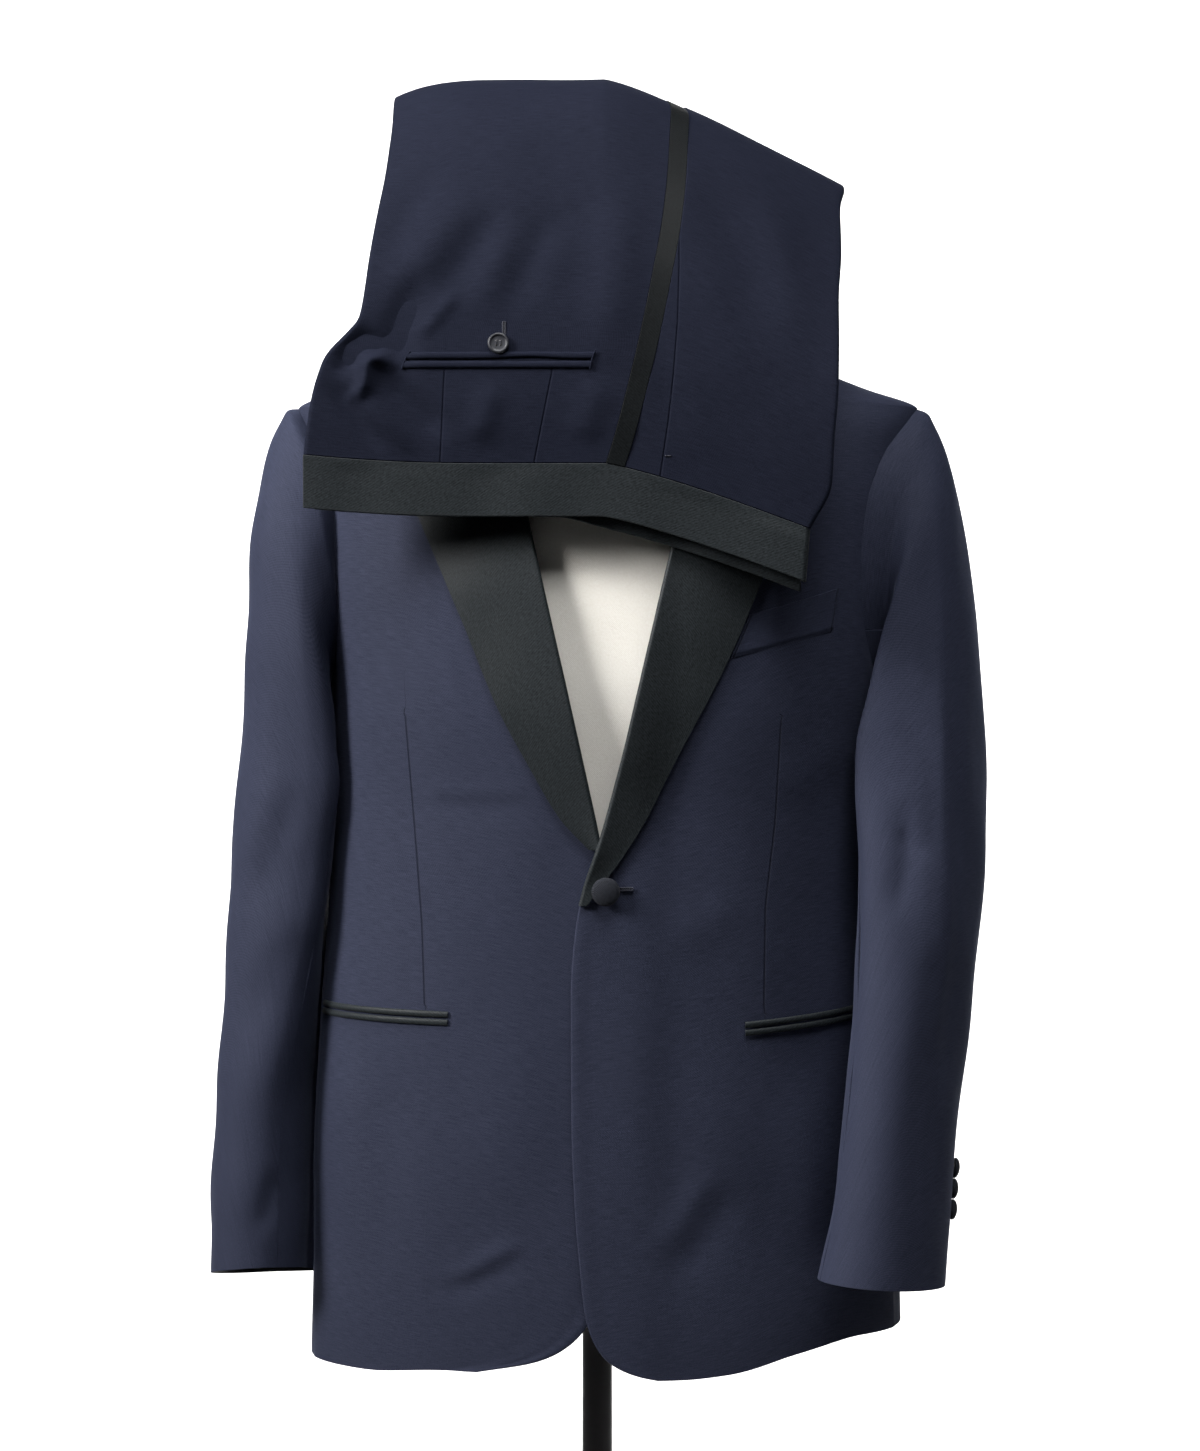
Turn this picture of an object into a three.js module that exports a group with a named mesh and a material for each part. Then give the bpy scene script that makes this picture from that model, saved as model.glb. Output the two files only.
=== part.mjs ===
// Dinner suit on a limbless dress form: a one-button jacket is worn by the form, and its trousers,
// folded leg on leg, hang upside down over the neck of the form with the waistband to the front.
// Millimetres, +Z up. The origin is the centre of the base on the floor. The front faces -Y, and +X is
// the wearer's left. Angles round the body start at the front centre and grow towards +X.
import * as THREE from 'three';

// Driving dimensions
const clothWall = 2;
const seamGap = 0.3;
const layGap = 0.8;
const seatGap = 0.5;
const lapelWall = 2.2;
const trimWall = 1.2;
const collarWall = 1.6;
const roundness = 2.3;

const armholeTop = 1397;
const armholeLow = 1183;
const armholeSpread = { left: 32, right: 20, back: 27 };
const neckHeight = 1460;
const neckEdgeAngle = 84;

const frontButtonDiameter = 20;
const cuffButtonDiameter = 14.6;
const trouserButtonDiameter = 15;

const waistbandHeight = 37;
const foldedThickness = 12;

const baseDiameter = 380;
const baseThickness = 12;
const bossTop = 52;
const poleDiameter = 22;
const poleTop = 828;
const formBottom = 862;
const formNeckBottom = 1474;
const formNeckRadius = 57;
const formNeckTop = 1556;
const armPlateHalfWidth = 196;
const formClearance = 11;
const shoulderClearance = 1.25;

// Sections of the worn jacket: half width, depth to the front and to the back, and the middle in x
const bodyRows = [
  { z: 690, half: 218, front: 117, back: 125, mid: 7 },
  { z: 760, half: 216, front: 120, back: 128, mid: 7 },
  { z: 850, half: 212, front: 122, back: 130, mid: 7 },
  { z: 930, half: 207, front: 124, back: 126, mid: 7 },
  { z: 1050, half: 197, front: 128, back: 114, mid: 7 },
  { z: 1100, half: 196, front: 130, back: 112, mid: 7 },
  { z: 1180, half: 203, front: 135, back: 120, mid: 7 },
  { z: 1250, half: 208, front: 133, back: 127, mid: 7 },
  { z: 1320, half: 212, front: 120, back: 124, mid: 8 },
  { z: 1360, half: 218, front: 102, back: 114, mid: 8.5 },
  { z: 1385, half: 227, front: 84, back: 102, mid: 8.5 },
  { z: 1397, half: 229, front: 73, back: 95, mid: 8 },
  { z: 1410, half: 194, front: 66, back: 91, mid: 7 },
  { z: 1425, half: 158, front: 59, back: 86, mid: 5 },
  { z: 1440, half: 122, front: 53, back: 82, mid: 3 },
  { z: 1460, half: 78, front: 46, back: 75, mid: 0 },
];

// Height of the jacket's hem round the body
const hemRows = [
  { angle: -180, z: 713 },
  { angle: -135, z: 707 },
  { angle: -90, z: 702 },
  { angle: -50, z: 702 },
  { angle: -28, z: 706 },
  { angle: 0, z: 703 },
  { angle: 10, z: 701 },
  { angle: 20, z: 704 },
  { angle: 35, z: 716 },
  { angle: 55, z: 725 },
  { angle: 90, z: 725 },
  { angle: 135, z: 720 },
  { angle: 180, z: 713 },
];

// Front edges from the hem up, with the cutaway, and on above the button along the lapel's roll line.
// The wearer's left front lies on top of the right one.
const leftFrontEdge = [
  { z: 701, x: 44 },
  { z: 703, x: 32 },
  { z: 708, x: 17 },
  { z: 716, x: 6 },
  { z: 732, x: -3.4 },
  { z: 745, x: -7 },
  { z: 780, x: -11 },
  { z: 817, x: -14 },
  { z: 880, x: -16.6 },
  { z: 976, x: -17 },
  { z: 1020, x: -13.7 },
  { z: 1045, x: -8.5 },
  { z: 1073, x: 1.3 },
  { z: 1097, x: 8.3 },
  { z: 1279, x: 52 },
  { z: 1400, x: 81 },
  { z: 1460, x: 95 },
];
const rightFrontEdge = [
  { z: 703, x: -94 },
  { z: 708, x: -70 },
  { z: 712, x: -50 },
  { z: 719, x: -32 },
  { z: 730, x: -17 },
  { z: 743, x: -7 },
  { z: 770, x: 6 },
  { z: 800, x: 12 },
  { z: 850, x: 16 },
  { z: 1000, x: 16 },
  { z: 1040, x: 13 },
  { z: 1075, x: 0.6 },
  { z: 1097, x: -3.6 },
  { z: 1307, x: -50 },
  { z: 1400, x: -70.5 },
  { z: 1460, x: -84 },
];

// Outer edges of the lapels, up to the tip of the peak
const leftLapelEdge = [
  { z: 1037, x: -7 },
  { z: 1051, x: 3 },
  { z: 1068, x: 15.7 },
  { z: 1097, x: 33.9 },
  { z: 1133, x: 51.8 },
  { z: 1207, x: 90.5 },
  { z: 1264, x: 115 },
  { z: 1352, x: 150 },
];
const rightLapelEdge = [
  { z: 1076, x: -6 },
  { z: 1097, x: -25.4 },
  { z: 1131, x: -45.7 },
  { z: 1175, x: -69.3 },
  { z: 1243, x: -97 },
  { z: 1311, x: -126.5 },
  { z: 1352, x: -146 },
];
// Height of the lapel's top edge across its width: roll line, notch, peak
const peakRows = [
  { across: 0, z: 1402 },
  { across: 0.5, z: 1368 },
  { across: 0.78, z: 1340 },
  { across: 1, z: 1352 },
];

// Collar from the gorge to the centre back: roll line and outer edge as angle and height on the body,
// and how far the roll stands up
const collarRows = [
  { at: 0, rollAngle: 21, rollZ: 1406, lift: 5, edgeAngle: 39, edgeZ: 1366 },
  { at: 1, rollAngle: 33, rollZ: 1430, lift: 10, edgeAngle: 46, edgeZ: 1394 },
  { at: 2, rollAngle: 52, rollZ: 1448, lift: 17, edgeAngle: 60, edgeZ: 1419 },
  { at: 3, rollAngle: 76, rollZ: 1458, lift: 24, edgeAngle: 77, edgeZ: 1433 },
  { at: 4, rollAngle: 100, rollZ: 1461, lift: 28, edgeAngle: 98, edgeZ: 1436 },
  { at: 5, rollAngle: 125, rollZ: 1461, lift: 30, edgeAngle: 124, edgeZ: 1439 },
  { at: 6, rollAngle: 152, rollZ: 1461, lift: 31, edgeAngle: 152, edgeZ: 1444 },
  { at: 7, rollAngle: 180, rollZ: 1461, lift: 32, edgeAngle: 180, edgeZ: 1446 },
];

// Rings of the sleeves below the armhole: outermost and innermost point in x and z, middle in y, half
// depth, turn towards the front, inward bow of the front and back, and rise of the front edge
const leftSleeveRows = [
  { at: 1, outX: 245, outZ: 1393, inX: 215, inZ: 1181, y: -1, deep: 61, turn: 0, bow: 18, rise: 0 },
  { at: 2, outX: 254, outZ: 1374, inX: 218, inZ: 1178, y: -4, deep: 65, turn: 2, bow: 13, rise: 0 },
  { at: 3, outX: 264, outZ: 1340, inX: 220, inZ: 1172, y: -9, deep: 70, turn: 7, bow: 7, rise: 0 },
  { at: 4, outX: 272, outZ: 1290, inX: 217, inZ: 1162, y: -14, deep: 74, turn: 13, bow: 3, rise: 0 },
  { at: 5, outX: 276, outZ: 1235, inX: 213, inZ: 1150, y: -22, deep: 76, turn: 18, bow: 0, rise: 0 },
  { at: 6, outX: 277, outZ: 1186, inX: 208, inZ: 1134, y: -31, deep: 76, turn: 22, bow: 0, rise: 0 },
  { at: 7, outX: 278, outZ: 1136, inX: 205, inZ: 1108, y: -40, deep: 75, turn: 24, bow: 0, rise: 0 },
  { at: 8, outX: 276, outZ: 1071, inX: 199, inZ: 1062, y: -54, deep: 73, turn: 25, bow: 0, rise: 0 },
  { at: 9, outX: 263, outZ: 963, inX: 190, inZ: 963, y: -82, deep: 63, turn: 28, bow: 0, rise: 0 },
  { at: 10, outX: 253, outZ: 900, inX: 182, inZ: 900, y: -97, deep: 57, turn: 31, bow: 0, rise: 0 },
  { at: 11, outX: 244, outZ: 836, inX: 175, inZ: 836, y: -112, deep: 53, turn: 35, bow: 0, rise: 2 },
  { at: 12, outX: 239, outZ: 770, inX: 161, inZ: 774, y: -122, deep: 53, turn: 40, bow: 0, rise: 4 },
];
const rightSleeveRows = [
  { at: 1, outX: -230, outZ: 1396, inX: -206, inZ: 1181, y: 0, deep: 61, turn: 0, bow: 24, rise: 0 },
  { at: 2, outX: -240, outZ: 1376, inX: -209, inZ: 1178, y: 0, deep: 65, turn: 0, bow: 18, rise: 0 },
  { at: 3, outX: -249, outZ: 1344, inX: -211, inZ: 1172, y: 1, deep: 70, turn: 0, bow: 9, rise: 0 },
  { at: 4, outX: -256, outZ: 1296, inX: -211, inZ: 1164, y: 2, deep: 74, turn: 0, bow: 3, rise: 0 },
  { at: 5, outX: -259, outZ: 1238, inX: -209, inZ: 1152, y: 3, deep: 76, turn: 0, bow: 0, rise: 0 },
  { at: 6, outX: -261, outZ: 1186, inX: -207, inZ: 1136, y: 4, deep: 76, turn: 0, bow: 0, rise: 0 },
  { at: 7, outX: -265, outZ: 1134, inX: -205, inZ: 1112, y: 4, deep: 74, turn: 0, bow: 0, rise: 0 },
  { at: 8, outX: -270, outZ: 1070, inX: -204, inZ: 1064, y: 4, deep: 70, turn: 0, bow: 0, rise: 0 },
  { at: 9, outX: -277, outZ: 960, inX: -209, inZ: 960, y: 0, deep: 62, turn: 0, bow: 0, rise: 3 },
  { at: 10, outX: -281, outZ: 890, inX: -213, inZ: 890, y: -4, deep: 58, turn: 0, bow: 0, rise: 5 },
  { at: 11, outX: -284, outZ: 824, inX: -215, inZ: 826, y: -9, deep: 55, turn: 0, bow: 0, rise: 8 },
  { at: 12, outX: -284, outZ: 760, inX: -216, inZ: 764, y: -15, deep: 53, turn: 0, bow: 0, rise: 10 },
];
// How far the front of the left sleeve reaches in over the chest
const leftArmReach = [
  { at: 1, reach: 0 },
  { at: 2, reach: 5 },
  { at: 3, reach: 14 },
  { at: 4, reach: 22 },
  { at: 5, reach: 26 },
  { at: 6, reach: 27 },
  { at: 7, reach: 24 },
  { at: 8, reach: 12 },
  { at: 9, reach: 2 },
  { at: 10, reach: 0 },
];
const armStops = 24;
const frontSeamStop = 8;
const backSeamStop = -4;
const joinStop = 10;

// Hip pockets: angle and height at both ends of the upper jet's top edge
const hipPockets = [
  { side: 'left', angle0: 25, z0: 954, angle1: 72, z1: 966 },
  { side: 'right', angle0: -30, z0: 961, angle1: -77, z1: 963 },
];
const jetHeight = 4.6;
const mouthHeight = 1;

// The trousers' outer face along their length: middle line, side edges, the drop of both edges below
// the middle, and how far the edges are drawn in towards the ridge
const drapeRows = [
  { at: 0, y: -144, z: 1346, left: -205, right: 149, dropLeft: -6, dropRight: 46, pinch: 0 },
  { at: 1, y: -144.5, z: 1381, left: -201, right: 164, dropLeft: -2, dropRight: 50, pinch: 0 },
  { at: 2, y: -143, z: 1416, left: -192, right: 166, dropLeft: 0, dropRight: 53, pinch: 0 },
  { at: 3, y: -138, z: 1451, left: -166, right: 169, dropLeft: 0, dropRight: 56, pinch: 0 },
  { at: 4, y: -128, z: 1491, left: -161, right: 171, dropLeft: 0, dropRight: 59, pinch: 0.03 },
  { at: 5, y: -112, z: 1530, left: -156, right: 173, dropLeft: 1, dropRight: 62, pinch: 0.08 },
  { at: 6, y: -90, z: 1570, left: -152, right: 177, dropLeft: 3, dropRight: 66, pinch: 0.16 },
  { at: 7, y: -62, z: 1608, left: -150, right: 178, dropLeft: 7, dropRight: 70, pinch: 0.25 },
  { at: 8, y: -32, z: 1632, left: -150.5, right: 183, dropLeft: 12, dropRight: 76, pinch: 0.3 },
  { at: 9, y: 0, z: 1641, left: -151, right: 184, dropLeft: 14, dropRight: 79, pinch: 0.3 },
  { at: 10, y: 32, z: 1632, left: -150, right: 183, dropLeft: 12, dropRight: 76, pinch: 0.3 },
  { at: 11, y: 62, z: 1606, left: -149, right: 180, dropLeft: 7, dropRight: 68, pinch: 0.25 },
  { at: 12, y: 84, z: 1566, left: -148, right: 176, dropLeft: 3, dropRight: 58, pinch: 0.14 },
  { at: 13, y: 102, z: 1520, left: -146, right: 171, dropLeft: 1, dropRight: 46, pinch: 0.06 },
  { at: 14, y: 117, z: 1470, left: -143, right: 166, dropLeft: 0, dropRight: 35, pinch: 0.02 },
  { at: 15, y: 129, z: 1410, left: -138, right: 160, dropLeft: 0, dropRight: 26, pinch: 0 },
  { at: 16, y: 138, z: 1340, left: -131, right: 152, dropLeft: 0, dropRight: 18, pinch: 0 },
  { at: 17, y: 142, z: 1260, left: -122, right: 142, dropLeft: 0, dropRight: 12, pinch: 0 },
  { at: 18, y: 143, z: 1180, left: -112, right: 131, dropLeft: 0, dropRight: 8, pinch: 0 },
  { at: 19, y: 143, z: 1100, left: -105, right: 122, dropLeft: 0, dropRight: 5, pinch: 0 },
  { at: 20, y: 142, z: 1000, left: -98, right: 112, dropLeft: 0, dropRight: 2, pinch: 0 },
];
const dropStart = 5;
const dropPower = 1.2;
const leftDropStart = -85;
const drapeEnd = 20;
const layersStart = 0.008;

// Middle of the side stripe as a share of the width, along the trousers
const stripeRows = [
  { at: 0, across: 0.614 },
  { at: 1, across: 0.613 },
  { at: 3, across: 0.622 },
  { at: 5, across: 0.643 },
  { at: 8, across: 0.636 },
  { at: 12, across: 0.6 },
  { at: 16, across: 0.55 },
  { at: 20, across: 0.5 },
];
const stripeWidth = 13;
const backPocket = { across0: 0.16, across1: 0.525, upperAt: 2.22, mouthAt: 2.05, lowerAt: 1.88 };
const backPocketButton = { across: 0.325, at: 2.38 };

// Finishes
const navyWool = new THREE.MeshStandardMaterial({ color: 0x2a2d42, roughness: 0.9, metalness: 0 });
const darkSatin = new THREE.MeshStandardMaterial({ color: 0x2c3033, roughness: 0.45, metalness: 0 });
const darkButton = new THREE.MeshStandardMaterial({ color: 0x1c1f2c, roughness: 0.5, metalness: 0 });
const formCover = new THREE.MeshStandardMaterial({ color: 0xe6e1d6, roughness: 0.9, metalness: 0 });
const blackPaint = new THREE.MeshStandardMaterial({ color: 0x101112, roughness: 0.4, metalness: 0.4 });

const suit = new THREE.Group();

// Value of a table's column at a place between its rows, on a smooth line that never overshoots
function read(rows, key, column, at) {
  const last = rows.length - 1;
  if (at <= rows[0][key]) {
    return rows[0][column];
  }
  if (at >= rows[last][key]) {
    return rows[last][column];
  }
  let k = 0;
  while (at > rows[k + 1][key]) {
    k += 1;
  }
  const slope = (i) => (rows[i + 1][column] - rows[i][column]) / (rows[i + 1][key] - rows[i][key]);
  const tangent = (i) => {
    if (i === 0 || i === last) {
      return slope(i === 0 ? 0 : last - 1);
    }
    const before = slope(i - 1);
    const after = slope(i);
    return before * after <= 0 ? 0 : (2 * before * after) / (before + after);
  };
  const span = rows[k + 1][key] - rows[k][key];
  const t = (at - rows[k][key]) / span;
  const from = (1 + 2 * t) * (1 - t) * (1 - t) * rows[k][column];
  const to = t * t * (3 - 2 * t) * rows[k + 1][column];
  const bend = t * (1 - t) * (1 - t) * tangent(k) - t * t * (1 - t) * tangent(k + 1);
  return from + to + span * bend;
}

const radians = (degrees) => (degrees * Math.PI) / 180;
const mix = (a, b, t) => a + (b - a) * t;
const ease = (t) => {
  const c = Math.min(1, Math.max(0, t));
  return c * c * (3 - 2 * c);
};
const signedPower = (value, power) => Math.sign(value) * Math.abs(value) ** power;

// One closed mesh, turned inside out if its faces point inward
function solid(name, finish, points, faces) {
  let volume = 0;
  for (let f = 0; f < faces.length; f += 3) {
    const [a, b, c] = [points[faces[f]], points[faces[f + 1]], points[faces[f + 2]]];
    volume += a.dot(b.clone().cross(c));
  }
  const order = volume < 0 ? faces.reverse() : faces;
  const geometry = new THREE.BufferGeometry();
  geometry.setAttribute('position', new THREE.Float32BufferAttribute(points.flatMap((p) => p.toArray()), 3));
  geometry.setIndex(order);
  geometry.computeVertexNormals();
  return addMesh(name, finish, geometry);
}

function addMesh(name, finish, geometry) {
  const mesh = new THREE.Mesh(geometry, finish.clone());
  mesh.name = name;
  suit.add(mesh);
  return mesh;
}

// Sheet of cloth with a real thickness: place(i, j, side) gives the point of column i and row j on the
// outer side 0 or the inner side 1
function wall(name, finish, columns, rows, place) {
  const stride = columns + 1;
  const points = [];
  const index = (i, j, side) => (side * (rows + 1) + j) * stride + i;
  for (const side of [0, 1]) {
    for (let j = 0; j <= rows; j += 1) {
      for (let i = 0; i <= columns; i += 1) {
        points.push(place(i, j, side));
      }
    }
  }
  const faces = [];
  const quad = (a, b, c, d) => faces.push(a, b, c, a, c, d);
  for (let j = 0; j < rows; j += 1) {
    for (let i = 0; i < columns; i += 1) {
      quad(index(i, j, 0), index(i + 1, j, 0), index(i + 1, j + 1, 0), index(i, j + 1, 0));
      quad(index(i, j, 1), index(i, j + 1, 1), index(i + 1, j + 1, 1), index(i + 1, j, 1));
    }
  }
  for (let i = 0; i < columns; i += 1) {
    quad(index(i + 1, 0, 0), index(i, 0, 0), index(i, 0, 1), index(i + 1, 0, 1));
    quad(index(i, rows, 0), index(i + 1, rows, 0), index(i + 1, rows, 1), index(i, rows, 1));
  }
  for (let j = 0; j < rows; j += 1) {
    quad(index(0, j, 0), index(0, j + 1, 0), index(0, j + 1, 1), index(0, j, 1));
    quad(index(columns, j + 1, 0), index(columns, j, 0), index(columns, j, 1), index(columns, j + 1, 1));
  }
  return solid(name, finish, points, faces);
}

// Solid through rings with the same even number of points. Each end is closed by a ladder of faces
// between the two halves of its ring, which start at the first point.
function ringStack(name, finish, rings) {
  const count = rings[0].length;
  const points = rings.flat();
  const faces = [];
  for (let j = 0; j + 1 < rings.length; j += 1) {
    for (let i = 0; i < count; i += 1) {
      const next = (i + 1) % count;
      faces.push(j * count + i, j * count + next, (j + 1) * count + next);
      faces.push(j * count + i, (j + 1) * count + next, (j + 1) * count + i);
    }
  }
  const top = (rings.length - 1) * count;
  const triangle = (base, a, b, c) => {
    const ordered = base === 0 ? [c, b, a] : [a, b, c];
    faces.push(...ordered.map((k) => base + (k % count)));
  };
  for (const base of [0, top]) {
    for (let i = 0; i < count / 2; i += 1) {
      if (i > 0) {
        triangle(base, i, i + 1, count - i);
      }
      if (i + 1 < count / 2) {
        triangle(base, i + 1, count - i - 1, count - i);
      }
    }
  }
  return solid(name, finish, points, faces);
}

// Turned solid: profile rows of radius and height along +Z, starting and ending on the axis
function turned(name, finish, profile, sides) {
  const geometry = new THREE.LatheGeometry(profile.map(([r, z]) => new THREE.Vector2(r, z)), sides);
  geometry.rotateX(Math.PI / 2);
  return addMesh(name, finish, geometry);
}

// Outward normal of a surface point(u, v) by small steps; (u, v) run so that u cross v faces out
function normalOf(point, u, v, stepU, stepV) {
  const alongU = point(u + stepU, v).sub(point(u - stepU, v));
  const alongV = point(u, v + stepV).sub(point(u, v - stepV));
  return alongU.cross(alongV).normalize();
}

// The worn jacket's outer surface at an angle round the body and a height
function bodyPoint(angle, z) {
  const s = Math.sin(radians(angle));
  const c = Math.cos(radians(angle));
  const depth = read(bodyRows, 'z', c >= 0 ? 'front' : 'back', z);
  const x = read(bodyRows, 'z', 'mid', z) + read(bodyRows, 'z', 'half', z) * signedPower(s, 2 / roundness);
  return new THREE.Vector3(x, -depth * signedPower(c, 2 / roundness), z);
}

function bodyAt(angle, z, lift) {
  const normal = normalOf(bodyPoint, angle, z, 0.5, 0.6);
  return bodyPoint(angle, z).addScaledVector(normal, lift);
}

// Angle on the front half of the body at a given x
function angleAtX(x, z) {
  const share = (x - read(bodyRows, 'z', 'mid', z)) / read(bodyRows, 'z', 'half', z);
  const sine = signedPower(Math.min(1, Math.abs(share)), roundness / 2) * Math.sign(share);
  return THREE.MathUtils.radToDeg(Math.asin(sine));
}

// The left front and its lapel lie on the right front by this much near the closing
function closingLift(x) {
  return (clothWall + 2 * layGap) * (1 - ease((x - 24) / 36));
}

// The armhole as an oval in angle and height. Stop 0 is the shoulder tip, half of armStops the armpit;
// stops below that run down the front, stops above it up the back. inset draws the oval in.
function armhole(stop, side, inset) {
  const turn = (2 * Math.PI * stop) / armStops;
  const middle = (armholeTop + armholeLow) / 2;
  const half = (armholeTop - armholeLow) / 2 - inset;
  const front = side > 0 ? armholeSpread.left : armholeSpread.right;
  const opening = Math.sin(turn) < 0 ? armholeSpread.back : front;
  const spread = opening - THREE.MathUtils.radToDeg(inset / bodyRows[0].half);
  return {
    angle: 90 - spread * signedPower(Math.sin(turn), 0.9),
    z: middle + half * signedPower(Math.cos(turn), 0.9),
  };
}

// Rows of the body panels: from the hem to the foot of the armhole, up the armhole, then the shoulder
const hemSteps = 12;
const hemPower = 1.8;
const shoulderSteps = 4;
const armholeEnd = hemSteps + joinStop;
const panelRows = armholeEnd + shoulderSteps;

function rowHeight(row, angle) {
  const join = armhole(joinStop, 1, 0).z;
  if (row <= hemSteps) {
    const hem = read(hemRows, 'angle', 'z', angle);
    return mix(hem, join, (row / hemSteps) ** hemPower);
  }
  if (row <= armholeEnd) {
    return armhole(armholeEnd - row, 1, 0).z;
  }
  return mix(armholeTop, neckHeight, (row - armholeEnd) / shoulderSteps);
}

// Angle of a panel's edge at the side seam, the armhole or the shoulder seam. mirror is 1 on the front
// and -1 on the back.
function outerEdgeAngle(row, mirror, side) {
  const stop = row <= hemSteps ? joinStop : Math.max(0, armholeEnd - row);
  const edge = armhole(mirror > 0 ? stop : armStops - stop, side, 0).angle;
  const reach = row >= armholeEnd ? 0 : Math.abs(90 - edge);
  const gap = row > hemSteps && row < armholeEnd ? 0 : THREE.MathUtils.radToDeg(seamGap / 2 / 130);
  return 90 - mirror * (reach + gap);
}

function frontPanel(name, side, edge, lift) {
  const columns = 8;
  wall(name, navyWool, columns, panelRows, (i, j, face) => {
    const guess = rowHeight(j, side * 12);
    const inner = Math.min(neckEdgeAngle, side * angleAtX(read(edge, 'z', 'x', guess), guess));
    const angle = mix(inner, outerEdgeAngle(j, 1, side), i / columns);
    const z = rowHeight(j, side * angle);
    const x = bodyPoint(side * angle, z).x;
    return bodyAt(side * angle, z, lift(x) - face * clothWall);
  });
}

function sidePanel(name, side) {
  const columns = armStops - 2 * joinStop;
  wall(name, navyWool, columns, hemSteps, (i, j, face) => {
    const stop = joinStop + i;
    const top = armhole(stop, side, 0);
    const gap = THREE.MathUtils.radToDeg(seamGap / 2 / 130) * (i === 0 ? 1 : i === columns ? -1 : 0);
    const angle = top.angle + gap;
    const hem = read(hemRows, 'angle', 'z', side * angle);
    const z = mix(hem, top.z, (j / hemSteps) ** hemPower);
    return bodyAt(side * angle, z, -face * clothWall);
  });
}

function backPanel(name, side) {
  const columns = 7;
  wall(name, navyWool, columns, panelRows, (i, j, face) => {
    const angle = mix(180, outerEdgeAngle(j, -1, side), i / columns);
    const z = rowHeight(j, side * angle);
    const point = bodyAt(side * angle, z, -face * clothWall);
    if (i === 0) {
      point.x += side * (seamGap / 2);
    }
    return point;
  });
}

// Sleeves
function sleeveRing(side, rows, stop, at) {
  const get = (column) => read(rows, 'at', column, at);
  const turn = (2 * Math.PI * stop) / armStops;
  const c = signedPower(Math.cos(turn), 0.95);
  const s = signedPower(Math.sin(turn), 0.95);
  const [outX, outZ, inX, inZ] = ['outX', 'outZ', 'inX', 'inZ'].map(get);
  const reach = side > 0 ? read(leftArmReach, 'at', 'reach', at) * Math.max(0, s) ** 4 : 0;
  const x = ((outX - inX) / 2) * c - side * get('bow') * s * s - reach;
  const y = -get('deep') * s;
  const yaw = -side * radians(get('turn'));
  return new THREE.Vector3(
    (outX + inX) / 2 + x * Math.cos(yaw) - y * Math.sin(yaw),
    get('y') + x * Math.sin(yaw) + y * Math.cos(yaw),
    (outZ + inZ) / 2 + ((outZ - inZ) / 2) * c + get('rise') * s,
  );
}

function sleevePoint(side, rows, stop, at) {
  const hole = armhole(((stop % armStops) + armStops) % armStops, side, seamGap);
  const root = bodyPoint(side * hole.angle, hole.z);
  return at >= 1 ? sleeveRing(side, rows, stop, at) : root.lerp(sleeveRing(side, rows, stop, 1), at);
}

function sleeveAt(side, rows, stop, at, lift) {
  const point = (u, v) => sleevePoint(side, rows, u, v);
  const low = Math.max(0, at - 0.02);
  const alongStop = point(stop + 0.1, at).sub(point(stop - 0.1, at));
  const alongArm = point(stop, at + 0.02).sub(point(stop, low));
  const normal = alongStop.cross(alongArm).normalize().multiplyScalar(side);
  return point(stop, at).addScaledVector(normal, lift);
}

function sleevePart(name, side, rows, from, to) {
  const rings = rows.length;
  const gapStop = (seamGap * armStops) / (2 * Math.PI * 60);
  wall(name, navyWool, to - from, rings, (i, j, face) => {
    const end = i === 0 ? gapStop : i === to - from ? -gapStop : 0;
    return sleeveAt(side, rows, from + i + end, j, -face * clothWall);
  });
}

// Lapels lie on the fronts, from the roll line to their outer edge
function lapel(name, side, frontEdge, lapelEdge, lift) {
  const columns = 6;
  const rows = 20;
  wall(name, darkSatin, columns, rows, (i, j, face) => {
    const across = i / columns;
    const z = mix(lapelEdge[0].z, read(peakRows, 'across', 'z', across), j / rows);
    const x = mix(read(frontEdge, 'z', 'x', z), read(lapelEdge, 'z', 'x', z), across);
    return bodyAt(angleAtX(x, z), z, lift(x) + layGap + (1 - face) * lapelWall);
  });
}

// Collar: a stand that rises from the neck edge, turns over at the roll and falls to its outer edge.
// Rows run from the foot of the stand to the outer edge.
const collarFolds = [
  { share: 0, stand: 0.02, out: -1.5 },
  { share: 0, stand: 0.8, out: -1.5 },
  { share: 0, stand: 1, out: 1.5 },
  { share: 0.04, stand: 0.92, out: 4.5 },
  { share: 0.45, stand: 0.42, out: 3 },
  { share: 1, stand: 0, out: 0 },
];

function collarPoint(at, fold) {
  const side = at < 0 ? -1 : 1;
  const get = (column) => read(collarRows, 'at', column, Math.abs(at));
  const roll = bodyAt(side * get('rollAngle'), Math.min(get('rollZ'), neckHeight), layGap);
  const edge = bodyAt(side * get('edgeAngle'), get('edgeZ'), layGap + collarWall);
  const outward = new THREE.Vector3(roll.x, roll.y, 0).normalize();
  const base = roll.clone().addScaledVector(outward, fold.out);
  base.z += seatGap + collarWall + get('lift') * fold.stand;
  return base.lerp(edge, fold.share);
}

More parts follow.
